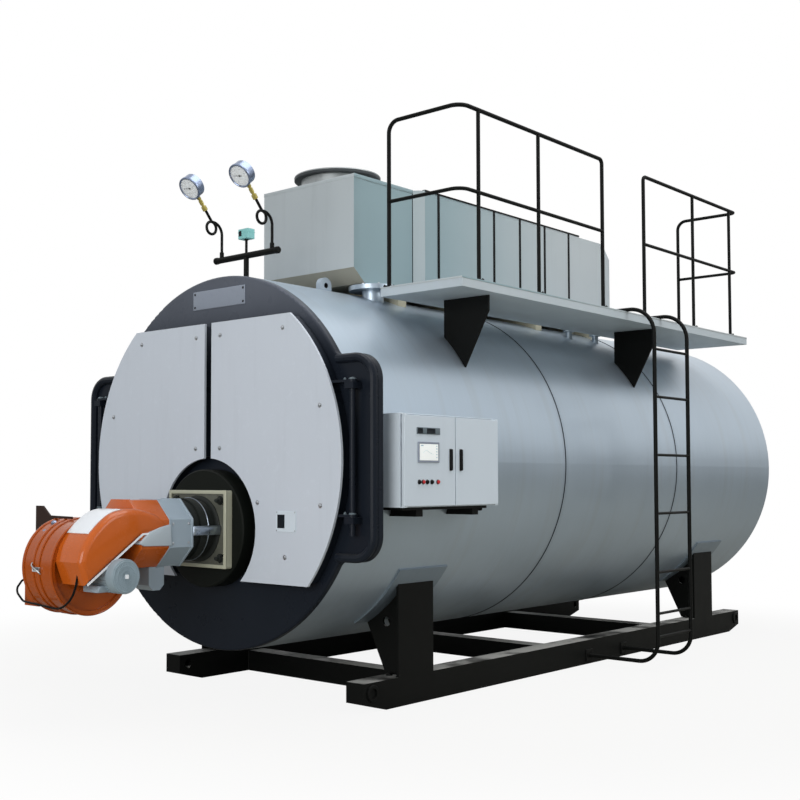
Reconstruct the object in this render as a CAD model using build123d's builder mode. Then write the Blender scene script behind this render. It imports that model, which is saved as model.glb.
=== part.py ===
"""Horizontal fire-tube steam boiler on a skid, with burner, walkway and economizer.

Frame: X to the right seen from the burner end, Y towards the rear, Z up, millimetres.
The origin is on the ground under the middle cross-beam.
"""
import os
from math import asin, cos, degrees, radians, sin, sqrt, tan

from build123d import *

# Fits
FIT = 0.3
DOOR_GAP = 6.0

# Shell: the front plate's face lies FRONT_L ahead of the middle cross-beam, seams are behind that face
SHELL_R = 1150.0
SHELL_L = 5675.0
SHELL_WALL = 30.0
SHELL_CLEAR = 322.0
FRONT_L = 2621.0
SEAM_YS = (2161.0, 3829.0)
FRONT_PLATE_T = 45.0
REAR_PLATE_T = 30.0
EAR_W = 138.0
EAR_DOWN = 565.0
EAR_UP = 591.0
EAR_CORNER = 150.0
EAR_ROOT = 60.0
PLATE_EDGE = 14.0
REAR_COVER_R = 330.0
REAR_COVER_T = 28.0
REAR_COVER_EDGE = 7.0

# Skid: beams set in from the end plates, cross-beams set in from the beams' ends and at the origin
BEAM_OUT = 895.0
BEAM_W = 140.0
BEAM_H = 175.0
BEAM_FRONT = 336.0
BEAM_REAR = 139.0
NOSE_L = 200.0
NOSE_RISE = 52.0
EYE_R = 28.0
EYE_INSET = 75.0
EYE_Z = 112.0
CROSS_W = 140.0
CROSS_H = 142.0
CROSS_FRONT = 710.0
CROSS_REAR = 1245.0

# Saddles: set in from the end plates, insets are from the beams' outer faces
SADDLE_FRONT = 824.0
SADDLE_REAR = 855.0
SADDLE_W = 342.0
SADDLE_T = 16.0
SADDLE_FOOT_INSET = 155.0
SADDLE_TIP_INSET = 320.0
SADDLE_TIP_LAP = 36.0
WEB_SPREAD = 100.0
WEB_HOLE_INSET = 147.0
WEB_HOLE_UP = 318.0
WEB_HOLE_R = 30.0
PAD_W = 470.0
PAD_T = 10.0
PAD_INSET = 103.4
PAD_HALF_DEG = 12.5

# Front doors: heights are from the shell's axis
PANEL_MARGIN = 48.0
PANEL_DOWN = 709.0
PANEL_UP = 849.0
PANEL_GAP = 31.0
PANEL_T = 16.0
PANEL_DEPTH = 90.0
CORE_INSET = 14.0
HINGE_INSET = 5.0
PIN_R = 17.0
PIN_BELOW = 110.0
PIN_ABOVE = 8.0
LUG_DOWN = 307.0
LUG_UP = 434.0
LUG_T = 14.0
LUG_R = 27.0
LUG_L = 185.0
LUG_BACK = 1.0
BEARING_H = 36.0
BEARING_HALF = 32.0

# Burner: heights are from its axis, runs are ahead of the octagonal head
BURNER_DROP = 404.0
ROUND_R = 357.0
ROUND_T = 124.0
ROUND_EDGE = 8.0
ROUND_RING = 68.0
FLANGE_W = 520.0
FLANGE_H = 462.0
FLANGE_T = 39.0
FLANGE_CORNER = 14.0
SLOT_INSET = 60.0
SLOT_L = 70.0
SLOT_W = 26.0
THROAT_R = 172.0
THROAT_T = 208.0
STRAP_T = 14.0
STRAP_W = 60.0
HEAD_FLAT = 385.0
HEAD_DROP = 13.0
HEAD_T = 168.0
DUCT_T = 205.0
HOOD_LEFT = 30.0
HOOD_RIGHT = 200.0
HOOD_FLOOR = ((565.0, -272.0), (197.0, -14.0), (80.0, -7.0), (0.0, 41.0))
HOOD_CROWN = ((90.0, 97.0), (220.0, 132.0), (330.0, 128.0), (423.0, 100.0), (521.0, 22.0), (585.0, -63.0),
              (612.0, -148.0))
FAN_Y = 373.0
FAN_DROP = 191.0
FAN_R = 265.0
FAN_W = 270.0
FAN_RIM = 22.0
FAN_RECESS = 14.0
FAN_BOSS = 60.0
MOTOR_Y = 360.0
MOTOR_DROP = 230.0
MOTOR_R = 88.0
MOTOR_L = 295.0
COWL_T = 6.0
COWL_L = 58.0
COWL_EDGE = 10.0
INLET_W = 140.0
INLET_Y = 537.0
INLET_PROFILE = ((0.0, -418.0), (0.0, -153.0), (75.0, -63.0), (150.0, 12.0), (310.0, 12.0), (330.0, -418.0))
VALVE_LEFT = 70.0
VALVE_RIGHT = 75.0
VALVE_Y = 55.0
VALVE_BACK = 55.0
VALVE_H = 135.5
VALVE_EDGE = 30.0
BRACKET_T = 10.0
BRACKET_BACK = 112.0
BRACKET_PROFILE = ((140.0, 0.0), (140.0, 63.0), (300.0, 63.0), (300.0, 75.0), (87.0, 78.0), (16.0, 132.0),
                   (-54.0, 132.0), (-54.0, -70.0), (-30.0, -130.0), (0.0, -130.0), (0.0, 0.0))
PIPE_R = 6.0
PIPE_OUT = 43.0
PIPE_ROUTE = ((-395.0, -268.0), (-470.0, -333.0), (-390.0, -390.0), (-20.0, -412.0), (100.0, -330.0),
              (130.0, -218.0))
PIPE_BENDS = (18.0, 30.0, 60.0, 190.0, 190.0)

# Gauge header: steps are (y, z) from a siphon's foot on the header
HEADER_BACK = 229.0
HEADER_RISE = 164.0
HEADER_R = 20.0
HEADER_HALF = 289.0
HEADER_STEM_R = 17.0
SIPHON_XS = (-232.0, 233.0)
SIPHON_R = 9.0
SOCKET_R = 14.0
SOCKET_H = 30.0
COIL_OUT = 91.0
COIL_UP = 178.0
COIL_R = 40.0
COIL_LEAD = 14.0
COIL_LAP = 5.0
COCK_FOOT = (-142.0, 284.0)
COCK_LEAN_DEG = 39.5
COCK_L = 95.0
COCK_STEM_R = 9.7
COCK_NUT_R = 17.0
COCK_BODY_R = 13.0
COCK_NUT_L = 28.0
COCK_BODY_SPAN = (43.0, 71.0)
COCK_COLLAR_L = 14.0
SIPHON_TAIL = 86.0
GAUGE_L = 79.5
GAUGE_R = 75.0
GAUGE_T = 55.0
GAUGE_EDGE = 4.0
GAUGE_STEM_R = 11.7
SWITCH = (92.0, 62.0, 62.0)
SWITCH_RISE = 106.0
SWITCH_EDGE = 6.0
SWITCH_STEM_R = 8.0

# Economizer and flue: lengths from front to rear
ECO_BACK = 790.0
ECO_RISE = 28.0
ECO_H = 702.0
ECO_NARROW = 417.0
ECO_WIDE = 482.0
ECO_OUTLET_L = 610.0
ECO_THROAT_L = 56.0
ECO_BODY_L = 2042.0
ECO_REAR_L = 494.0
ECO_CHIN_L = 106.0
ECO_CHIN_H = 90.0
ECO_REAR_DROP = 10.0
ECO_CHAMFER = 118.0
SUPPORT_BACK = 431.0
SUPPORT_PITCH = 840.0
SUPPORTS = 4
SUPPORT_T = 80.0
SUPPORT_INSET = 12.0
FLUE_BACK = 301.0
FLUE_R = 250.0
FLUE_WALL = 8.0
FLUE_H = 86.0
FLUE_DEPTH = 320.0
FLUE_LIP = 47.0
FLUE_FLANGE_T = 12.0
FLUE_PCD_INSET = 22.0
FLUE_BOLTS = 12
FLUE_BOLT_R = 7.0

# Walkway: the deck stands off the economizer, rails run in from the deck's edges
DECK_OFF = 116.0
DECK_W = 642.0
DECK_BACK = 845.0
DECK_L = 4156.0
DECK_RISE = 76.7
DECK_T = 59.0
BRACKET_YS = (394.0, 2626.0)
DECK_BRACKET_T = 16.0
DECK_BRACKET_INSET = 213.0
DECK_BRACKET_OUT = 80.0
DECK_BRACKET_LIP = 97.0
DECK_BRACKET_FOOT_DEG = 58.0
DECK_BRACKET_HEEL_DEG = 46.5
DECK_BRACKET_SINK = 33.0
RAIL_R = 13.5
MID_RAIL_R = 12.0
POST_R = 12.5
RAIL_INSET = 25.0
RAIL_TOP = 1070.0
RAIL_MID = 552.0
FRONT_RAIL_INNER = 50.0
FRONT_RAIL_L = 1707.0
FRONT_POSTS = (184.0, 867.0)
FRONT_BENDS = (75.0, 80.0, 35.0)
REAR_RAIL_INNER = 90.0
REAR_RAIL_SETBACK = 145.0
REAR_RAIL_L = 1657.0
REAR_POSTS = (131.0, 827.0)
REAR_BENDS = (75.0, 45.0, 35.0)

# Ladder: low rungs are over the ground, the others hang from the deck at a pitch
LADDER_OFF = 213.0
LADDER_Y = 2034.0
LADDER_W = 520.0
LADDER_R = 14.5
LADDER_LAP = 131.0
LADDER_FOOT_Z = 62.0
LADDER_BENDS = (190.0, 150.0)
LOW_RUNG_ZS = (245.0, 409.0)
TOP_RUNG_DROPS = (287.0, 631.0)
RUNG_PITCH = 419.0
RUNG_R = 10.0

# Control cabinet
CABINET_OFF = 3.0
CABINET_DEPTH = 197.0
CABINET_BACK = 153.0
CABINET_L = 898.0
CABINET_DOWN = 263.0
CABINET_H = 519.0
CABINET_WALL = 12.0
CABINET_DOOR_T = 26.0
CABINET_LEAF = 468.0
CABINET_GAP = 8.0
PIVOT_INSET = 13.0
PIVOT_R = 5.0
PIVOT_DEPTH = 18.0
PIVOT_TAB = 6.0
LEAF_BACK_ROUND = 10.0
LEAF_FACE_ROUND = 3.0
SHELF_FRONT_INSET = 23.0
SHELF_REAR_INSET = 75.0
SHELF_ROOT = 100.0
SHELF_T = 16.0
ARM_FRONT_INSET = 193.0
ARM_REAR_INSET = 170.0
ARM_W = 60.0
ARM_H = 38.0
ARM_BACK = 16.0

# Shell fittings: backs are behind the front plate, rises are over the shell's surface
HOIST_X = 250.0
HOIST_BACK = 684.0
HOIST_T = 40.0
HOIST_W = 104.0
HOIST_RISE = 27.0
HOIST_HOLE_R = 18.0
NOZZLE = (395.0, 1006.0)
NOZZLE_R = 72.0
NOZZLE_FLANGE = (160.0, 30.0)
NOZZLE_RISE = 53.4
STUBS = ((540.0, 3232.0), (540.0, 3639.0))
STUB_R = 26.0
STUB_FLANGE = (45.0, 20.0)
STUB_RISE = 48.7
NOZZLE_ROOT = 40.0

# Places that follow from the sizes
SHELL_Z = SHELL_CLEAR + SHELL_R
FRONT_Y = -FRONT_L
REAR_Y = FRONT_Y + SHELL_L
BURNER_Z = SHELL_Z - BURNER_DROP
HEAD_Z = BURNER_Z - HEAD_DROP
PANEL_FACE = FRONT_Y - PANEL_DEPTH
CORE_FACE = PANEL_FACE + PANEL_T
HINGE_X = SHELL_R - HINGE_INSET
HINGE_Y = CORE_FACE + LUG_R + LUG_BACK


def over_shell(x):
    """Height of the shell's upper surface at a distance from its mid-plane."""
    return SHELL_Z + sqrt(SHELL_R**2 - x**2)


def under_shell(x):
    """Height of the shell's lower surface at a distance from its mid-plane."""
    return 2 * SHELL_Z - over_shell(x)


def facing(y):
    """Sketch plane across the boiler at y: local axes X and Z, normal towards the burner."""
    return Plane.XZ.offset(-y)


def block(x, y, z, mode=Mode.ADD):
    """Box over three (low, high) ranges."""
    with Locations(tuple((low + high) / 2 for low, high in (x, y, z))):
        Box(*(high - low for low, high in (x, y, z)), mode=mode)


def rod(start, end, radius, mode=Mode.ADD):
    """Round bar from start to end."""
    axis = Vector(*end) - Vector(*start)
    with Locations(Plane(origin=start, z_dir=axis)):
        Cylinder(radius, axis.length, align=(Align.CENTER, Align.CENTER, Align.MIN), mode=mode)


def clear_shell(grown=FIT):
    """Cut away what would stand inside the shell grown by a clearance."""
    rod((0, FRONT_Y, SHELL_Z), (0, REAR_Y, SHELL_Z), SHELL_R + grown, Mode.SUBTRACT)


def bent_tube(points, bends, radius):
    """Round tube along straight runs, each inner corner turned on its own bend radius."""
    stops = [Vector(*point) for point in points]
    with BuildLine() as path:
        start = stops[0]
        for before, corner, after, bend in zip(stops, stops[1:], stops[2:], bends):
            back = (before - corner).normalized()
            ahead = (after - corner).normalized()
            half = radians(back.get_angle(ahead)) / 2
            turn_in = corner + back * (bend / tan(half))
            turn_out = corner + ahead * (bend / tan(half))
            middle = corner + (back + ahead).normalized() * (bend / sin(half) - bend)
            Line(start, turn_in)
            ThreePointArc(turn_in, middle, turn_out)
            start = turn_out
        Line(start, stops[-1])
    with BuildSketch(Plane(origin=stops[0], z_dir=stops[1] - stops[0])) as section:
        Circle(radius)
    sweep(sections=section.sketch, path=path.wire())


def save(solid, name):
    """Label one finished sub-part and write its file."""
    solid.part.label = name
    export_step(solid.part, f"parts/{name}.step")


os.makedirs("parts", exist_ok=True)

# Skid beams: solid box sections with raked noses and a towing eye through each end
beam_y = (FRONT_Y + BEAM_FRONT, REAR_Y - BEAM_REAR)
with BuildPart() as skid_beams:
    for side in (-1, 1):
        with BuildSketch(Plane.YZ.offset(side * (BEAM_OUT - BEAM_W))):
            with BuildLine():
                Polyline(
                    (beam_y[0], NOSE_RISE), (beam_y[0] + NOSE_L, 0), (beam_y[1] - NOSE_L, 0),
                    (beam_y[1], NOSE_RISE), (beam_y[1], BEAM_H), (beam_y[0], BEAM_H), close=True,
                )
            make_face()
            with Locations((beam_y[0] + EYE_INSET, EYE_Z), (beam_y[1] - EYE_INSET, EYE_Z)):
                Circle(EYE_R, mode=Mode.SUBTRACT)
        extrude(amount=side * BEAM_W)
save(skid_beams, "skid_beams")

with BuildPart() as cross_beams:
    reach = BEAM_OUT - BEAM_W
    for y in (beam_y[0] + CROSS_FRONT, 0, beam_y[1] - CROSS_REAR):
        block((-reach, reach), (y - CROSS_W / 2, y + CROSS_W / 2), (0, CROSS_H))
save(cross_beams, "cross_beams")

# Saddles: a face plate and two webs on each beam, under doubler pads on the shell
saddle_ys = (FRONT_Y + SADDLE_FRONT, REAR_Y - SADDLE_REAR)
pad_mid = degrees(asin((BEAM_OUT - PAD_INSET) / SHELL_R))
with BuildPart() as saddle_pads:
    for y in saddle_ys:
        for side in (-1, 1):
            with BuildSketch(facing(y + PAD_W / 2)):
                with BuildLine():
                    edges = []
                    for radius in (SHELL_R + FIT, SHELL_R + FIT + PAD_T):
                        spots = []
                        for angle in (pad_mid - PAD_HALF_DEG, pad_mid, pad_mid + PAD_HALF_DEG):
                            turn = radians(angle)
                            spots.append((side * radius * sin(turn), SHELL_Z - radius * cos(turn)))
                        ThreePointArc(*spots)
                        edges.append(spots)
                    Line(edges[0][0], edges[1][0])
                    Line(edges[0][2], edges[1][2])
                make_face()
            extrude(amount=PAD_W)
save(saddle_pads, "saddle_pads")

with BuildPart() as saddles:
    plate_x = BEAM_OUT - SADDLE_T
    tip_x = BEAM_OUT - SADDLE_TIP_INSET
    for y in saddle_ys:
        for side in (-1, 1):
            plate_y = (y - SADDLE_W / 2, y + SADDLE_W / 2)
            block(sorted((side * BEAM_OUT, side * plate_x)), plate_y, (BEAM_H, SHELL_Z))
            for web_y in (y - WEB_SPREAD, y + WEB_SPREAD):
                with BuildSketch(facing(web_y + SADDLE_T / 2)):
                    with BuildLine():
                        Polyline(
                            (side * (BEAM_OUT - SADDLE_FOOT_INSET), BEAM_H), (side * plate_x, BEAM_H),
                            (side * plate_x, SHELL_Z), (side * tip_x, under_shell(tip_x) + SADDLE_TIP_LAP),
                            close=True,
                        )
                    make_face()
                    with Locations((side * (BEAM_OUT - WEB_HOLE_INSET), BEAM_H + WEB_HOLE_UP)):
                        Circle(WEB_HOLE_R, mode=Mode.SUBTRACT)
                extrude(amount=SADDLE_T)
    clear_shell(2 * FIT + PAD_T)
save(saddles, "saddles")

# Shell: three hollow courses closed by a front and a rear plate
course_ys = (FRONT_Y + FRONT_PLATE_T, *(FRONT_Y + step for step in SEAM_YS), REAR_Y - REAR_PLATE_T)
for name, y0, y1 in zip(("shell_front", "shell_middle", "shell_rear"), course_ys, course_ys[1:]):
    with BuildPart() as course:
        with BuildSketch(facing(y1)):
            with Locations((0, SHELL_Z)):
                Circle(SHELL_R)
                Circle(SHELL_R - SHELL_WALL, mode=Mode.SUBTRACT)
        extrude(amount=y1 - y0)
    save(course, name)

with BuildPart() as front_plate:
    with BuildSketch(facing(FRONT_Y + FRONT_PLATE_T)):
        with Locations((0, SHELL_Z)):
            Circle(SHELL_R)
        with Locations((0, SHELL_Z + (EAR_UP - EAR_DOWN) / 2)):
            RectangleRounded(2 * (SHELL_R + EAR_W), EAR_UP + EAR_DOWN, EAR_CORNER)
    extrude(amount=FRONT_PLATE_T)
    roots = [edge for edge in front_plate.edges().filter_by(Axis.Y) if abs(edge.center().X) < SHELL_R]
    fillet(roots, EAR_ROOT)
    rim = front_plate.faces().sort_by(Axis.Y)[0].outer_wire()
    fillet(rim.edges(), PLATE_EDGE)
save(front_plate, "front_plate")

with BuildPart() as rear_plate:
    with BuildSketch(facing(REAR_Y)):
        with Locations((0, SHELL_Z)):
            Circle(SHELL_R)
    extrude(amount=REAR_PLATE_T)
    fillet(rear_plate.faces().sort_by(Axis.Y)[-1].edges(), PLATE_EDGE)
save(rear_plate, "rear_plate")

with BuildPart() as rear_cover:
    with BuildSketch(facing(REAR_Y + REAR_COVER_T)):
        with Locations((0, SHELL_Z)):
            Circle(REAR_COVER_R)
    extrude(amount=REAR_COVER_T)
    chamfer(rear_cover.faces().sort_by(Axis.Y)[-1].edges(), REAR_COVER_EDGE)
save(rear_cover, "rear_cover")


def door_outline(side, inset):
    """Half of the round front with a flat top and bottom, cut round for the burner."""
    with Locations((0, SHELL_Z)):
        Circle(SHELL_R - PANEL_MARGIN - inset)
    low, high = SHELL_Z - PANEL_DOWN + inset, SHELL_Z + PANEL_UP - inset
    with Locations((side * (PANEL_GAP + inset + SHELL_R), (low + high) / 2)):
        Rectangle(2 * SHELL_R, high - low, mode=Mode.INTERSECT)
    with Locations((0, BURNER_Z)):
        Circle(ROUND_R + ROUND_RING + inset, mode=Mode.SUBTRACT)


# Front doors: a dark core with hinge lugs and pin, faced by a light panel
lug_zs = (SHELL_Z - LUG_DOWN, SHELL_Z + LUG_UP)
pin_z = (lug_zs[0] - PIN_BELOW, lug_zs[1] + PIN_ABOVE)
for name, side in (("left", -1), ("right", 1)):
    with BuildPart() as core:
        with BuildSketch(facing(FRONT_Y - DOOR_GAP)):
            door_outline(side, CORE_INSET)
        extrude(amount=FRONT_Y - DOOR_GAP - CORE_FACE)
        for z in lug_zs:
            with BuildSketch(Plane.XY.offset(z - LUG_T / 2)):
                with Locations((side * (HINGE_X - LUG_L / 2), HINGE_Y)):
                    Rectangle(LUG_L, 2 * LUG_R)
                with Locations((side * HINGE_X, HINGE_Y)):
                    Circle(LUG_R)
            extrude(amount=LUG_T)
        rod((side * HINGE_X, HINGE_Y, pin_z[0]), (side * HINGE_X, HINGE_Y, pin_z[1]), PIN_R)
    save(core, f"{name}_door")

    with BuildPart() as panel:
        with BuildSketch(facing(CORE_FACE)):
            door_outline(side, 0)
        extrude(amount=PANEL_T)
    save(panel, f"{name}_door_panel")

with BuildPart() as hinge_bearings:
    for side in (-1, 1):
        for z in lug_zs:
            top = z - LUG_T / 2 - FIT
            x = (side * HINGE_X - BEARING_HALF, side * HINGE_X + BEARING_HALF)
            block(x, (HINGE_Y - BEARING_HALF, FRONT_Y), (top - BEARING_H, top))
        pin_ends = [(side * HINGE_X, HINGE_Y, z) for z in pin_z]
        rod(*pin_ends, PIN_R + FIT, Mode.SUBTRACT)
save(hinge_bearings, "hinge_bearings")

# Burner, stacked forwards from the front plate along the furnace axis
flange_y = FRONT_Y - ROUND_T
throat_y = flange_y - FLANGE_T
head_y = throat_y - THROAT_T
duct_y = head_y - HEAD_T


def burner_yz(run, rise):
    """Place beside the burner's axis: ahead of the octagonal head and over the axis."""
    return (duct_y - run, BURNER_Z + rise)


with BuildPart() as burner_plate:
    with BuildSketch(facing(FRONT_Y)):
        with Locations((0, BURNER_Z)):
            Circle(ROUND_R)
    extrude(amount=ROUND_T)
    chamfer(burner_plate.faces().sort_by(Axis.Y)[0].edges(), ROUND_EDGE)
save(burner_plate, "burner_plate")

with BuildPart() as burner_flange:
    with BuildSketch(facing(flange_y)):
        with Locations((0, BURNER_Z)):
            RectangleRounded(FLANGE_W, FLANGE_H, FLANGE_CORNER)
        for x in (-1, 1):
            for z in (-1, 1):
                spot = (x * (FLANGE_W / 2 - SLOT_INSET), BURNER_Z + z * (FLANGE_H / 2 - SLOT_INSET))
                with Locations(Location(spot, x * z * 45.0 + 90.0)):
                    SlotOverall(SLOT_L, SLOT_W, mode=Mode.SUBTRACT)
    extrude(amount=FLANGE_T)
save(burner_flange, "burner_flange")

with BuildPart() as burner_throat:
    rod((0, throat_y, BURNER_Z), (0, head_y, BURNER_Z), THROAT_R)
    strap = throat_y - THROAT_T / 2
    rod((0, strap + STRAP_W / 2, BURNER_Z), (0, strap - STRAP_W / 2, BURNER_Z), THROAT_R + STRAP_T)
save(burner_throat, "burner_throat")

with BuildPart() as burner_head:
    with BuildSketch(facing(head_y)):
        with Locations((0, HEAD_Z)):
            RegularPolygon(HEAD_FLAT / 2, 8, major_radius=False, rotation=22.5)
    extrude(amount=HEAD_T)
save(burner_head, "burner_head")

fan_yz = burner_yz(FAN_Y, -FAN_DROP)
motor_yz = burner_yz(MOTOR_Y, -MOTOR_DROP)


def hood_scroll(mode=Mode.ADD):
    """Scroll-shaped cover between the fan and the octagonal duct."""
    floor = [burner_yz(*point) for point in HOOD_FLOOR]
    crown = [burner_yz(*point) for point in HOOD_CROWN]
    with BuildSketch(Plane.YZ.offset(-HOOD_LEFT)) as profile:
        with BuildLine():
            Polyline(*floor)
            Spline(floor[-1], *crown)
            Line(crown[-1], floor[0])
        make_face()
    extrude(profile.sketch, amount=HOOD_LEFT + HOOD_RIGHT, mode=mode)


with BuildPart() as burner_hood:
    with BuildSketch(facing(duct_y)):
        with Locations((0, HEAD_Z)):
            RegularPolygon(HEAD_FLAT / 2, 8, major_radius=False, rotation=22.5)
    extrude(amount=DUCT_T)
    hood_scroll()
    rod((-HEAD_FLAT, *fan_yz), (-HOOD_LEFT, *fan_yz), FAN_R + FIT, Mode.SUBTRACT)
    rod((-HOOD_LEFT, *motor_yz), (HOOD_RIGHT, *motor_yz), MOTOR_R + COWL_T + FIT, Mode.SUBTRACT)
save(burner_hood, "burner_hood")

fan_x = -HOOD_LEFT - FAN_W
with BuildPart() as burner_fan:
    recess_x = -HOOD_LEFT - FAN_RECESS
    rod((fan_x, *fan_yz), (-HOOD_LEFT, *fan_yz), FAN_R)
    rod((recess_x, *fan_yz), (-HOOD_LEFT, *fan_yz), FAN_R - FAN_RIM, Mode.SUBTRACT)
    rod((recess_x, *fan_yz), (-HOOD_LEFT, *fan_yz), MOTOR_R + FAN_BOSS)
save(burner_fan, "burner_fan")

inlet_face = duct_y - INLET_Y
with BuildPart() as burner_inlet:
    with BuildSketch(Plane.YZ.offset(fan_x)):
        with BuildLine():
            Polyline(*((inlet_face + run, BURNER_Z + rise) for run, rise in INLET_PROFILE), close=True)
        make_face()
    extrude(amount=-INLET_W)
save(burner_inlet, "burner_inlet")

with BuildPart() as burner_motor:
    motor_end = MOTOR_L - HOOD_LEFT
    rod((-HOOD_LEFT, *motor_yz), (motor_end, *motor_yz), MOTOR_R)
    rod((motor_end - COWL_L, *motor_yz), (motor_end, *motor_yz), MOTOR_R + COWL_T)
    chamfer(burner_motor.faces().sort_by(Axis.X)[-1].edges(), COWL_EDGE)
save(burner_motor, "burner_motor")

with BuildPart() as burner_valve:
    valve_top = HEAD_Z - HEAD_FLAT / 2
    valve_y = (duct_y - VALVE_Y, duct_y + VALVE_BACK)
    block((-VALVE_LEFT, VALVE_RIGHT), valve_y, (valve_top - VALVE_H, valve_top))
    chamfer(burner_valve.faces().sort_by(Axis.Z)[0].edges().filter_by(Axis.X), VALVE_EDGE)
save(burner_valve, "burner_valve")

with BuildPart() as burner_bracket:
    corner = (fan_x - INLET_W, BURNER_Z + max(rise for _, rise in INLET_PROFILE))
    with BuildSketch(facing(inlet_face + BRACKET_BACK)):
        with BuildLine():
            Polyline(*((corner[0] + x, corner[1] + z) for x, z in BRACKET_PROFILE), close=True)
        make_face()
    extrude(amount=BRACKET_T)
save(burner_bracket, "burner_bracket")

with BuildPart() as burner_pipe:
    route = [(PIPE_ROUTE[0][0], inlet_face, BURNER_Z + PIPE_ROUTE[0][1])]
    route += [(x, inlet_face - PIPE_OUT, BURNER_Z + rise) for x, rise in PIPE_ROUTE]
    bent_tube(route, PIPE_BENDS, PIPE_R)
    hood_scroll(Mode.SUBTRACT)
save(burner_pipe, "burner_pipe")

# Gauge header with two siphon tubes, gauges and a pressure switch
header_y = FRONT_Y + HEADER_BACK
header_z = SHELL_Z + SHELL_R + HEADER_RISE
with BuildPart() as gauge_header:
    rod((-HEADER_HALF, header_y, header_z), (HEADER_HALF, header_y, header_z), HEADER_R)
    rod((0, header_y, SHELL_Z), (0, header_y, header_z), HEADER_STEM_R)
    clear_shell()
save(gauge_header, "gauge_header")

lean = radians(COCK_LEAN_DEG)


def along_header(x, step):
    """Point in the siphons' plane, a step away from a siphon's foot."""
    return (x, header_y + step[0], header_z + HEADER_R + step[1])


def along_cock(x, distance):
    """Point on the line of a siphon's cock, a distance past its lower end."""
    return along_header(x, (COCK_FOOT[0] - distance * sin(lean), COCK_FOOT[1] + distance * cos(lean)))


with BuildPart() as siphons:
    for x in SIPHON_XS:
        crest = COIL_UP + COIL_R
        bent_tube(
            (along_header(x, (0, 0)), along_header(x, (0, crest)),
             along_header(x, (COIL_LAP - COIL_OUT, crest))),
            (COIL_OUT - COIL_LEAD,), SIPHON_R)
        with Locations(Location(along_header(x, (-COIL_OUT, COIL_UP)), (0, 90, 0))):
            Torus(COIL_R, SIPHON_R)
        rod(along_cock(x, -SIPHON_TAIL), along_cock(x, 0), SIPHON_R)
        rod((x, header_y, header_z), along_header(x, (0, SOCKET_H)), SOCKET_R)
        seat = [(x + step, header_y, header_z) for step in (-SOCKET_R, SOCKET_R)]
        rod(*seat, HEADER_R + FIT, Mode.SUBTRACT)
save(siphons, "siphons")

with BuildPart() as gauge_cocks:
    for x in SIPHON_XS:
        rod(along_cock(x, 0), along_cock(x, COCK_L), COCK_STEM_R)
        rod(along_cock(x, 0), along_cock(x, COCK_NUT_L), COCK_NUT_R)
        rod(*(along_cock(x, stop) for stop in COCK_BODY_SPAN), COCK_BODY_R)
        rod(along_cock(x, COCK_L - COCK_COLLAR_L), along_cock(x, COCK_L), COCK_BODY_R)
save(gauge_cocks, "gauge_cocks")

with BuildPart() as gauges:
    for x in SIPHON_XS:
        dial = Vector(*along_cock(x, COCK_L + GAUGE_L))
        depth = Vector(0, cos(lean), sin(lean)) * (GAUGE_T / 2)
        rod(dial - depth, dial + depth, GAUGE_R)
        rod(along_cock(x, COCK_L), dial, GAUGE_STEM_R)
    rims = [edge for edge in gauges.edges().filter_by(GeomType.CIRCLE) if edge.radius > GAUGE_R - FIT]
    fillet(rims, GAUGE_EDGE)
save(gauges, "gauges")

with BuildPart() as pressure_switch:
    switch_z = header_z + SWITCH_RISE
    with Locations((0, header_y, switch_z)):
        Box(*SWITCH, align=(Align.CENTER, Align.CENTER, Align.MIN))
    fillet(pressure_switch.edges().filter_by(Axis.Z), SWITCH_EDGE)
    rod((0, header_y, header_z), (0, header_y, switch_z), SWITCH_STEM_R)
    seat = [(step, header_y, header_z) for step in (-SWITCH_STEM_R, SWITCH_STEM_R)]
    rod(*seat, HEADER_R + FIT, Mode.SUBTRACT)
save(pressure_switch, "pressure_switch")

# Economizer: outlet box with a widening throat, long body and a chamfered rear end
eco_y = [FRONT_Y + ECO_BACK]
for length in (ECO_OUTLET_L, ECO_THROAT_L, ECO_BODY_L, ECO_REAR_L):
    eco_y.append(eco_y[-1] + length)
eco_z = (SHELL_Z + SHELL_R + ECO_RISE, SHELL_Z + SHELL_R + ECO_RISE + ECO_H)
flue_y = eco_y[0] + FLUE_BACK
with BuildPart() as economizer_outlet:
    with BuildSketch(Plane.XY.offset(eco_z[0])):
        with BuildLine():
            Polyline(
                (-ECO_NARROW, eco_y[0]), (ECO_NARROW, eco_y[0]), (ECO_NARROW, eco_y[1]), (ECO_WIDE, eco_y[2]),
                (-ECO_WIDE, eco_y[2]), (-ECO_NARROW, eco_y[1]), close=True,
            )
        make_face()
    extrude(amount=ECO_H)
    with BuildSketch(Plane.YZ.offset(-ECO_NARROW)):
        with BuildLine():
            Polyline(
                (eco_y[0], eco_z[0]), (eco_y[0] + ECO_CHIN_L, eco_z[0]), (eco_y[0], eco_z[0] + ECO_CHIN_H),
                close=True,
            )
        make_face()
    extrude(amount=2 * ECO_NARROW, mode=Mode.SUBTRACT)
    rod((0, flue_y, eco_z[1] - FLUE_DEPTH), (0, flue_y, eco_z[1]), FLUE_R - FLUE_WALL, Mode.SUBTRACT)
save(economizer_outlet, "economizer_outlet")

with BuildPart() as economizer_body:
    block((-ECO_WIDE, ECO_WIDE), eco_y[2:4], eco_z)
save(economizer_body, "economizer_body")

with BuildPart() as economizer_rear:
    block((-ECO_WIDE, ECO_WIDE), eco_y[3:], (eco_z[0], eco_z[1] - ECO_REAR_DROP))
    chamfer(economizer_rear.faces().sort_by(Axis.Y)[-1].edges().sort_by(Axis.Z)[-1], ECO_CHAMFER)
save(economizer_rear, "economizer_rear")

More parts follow.
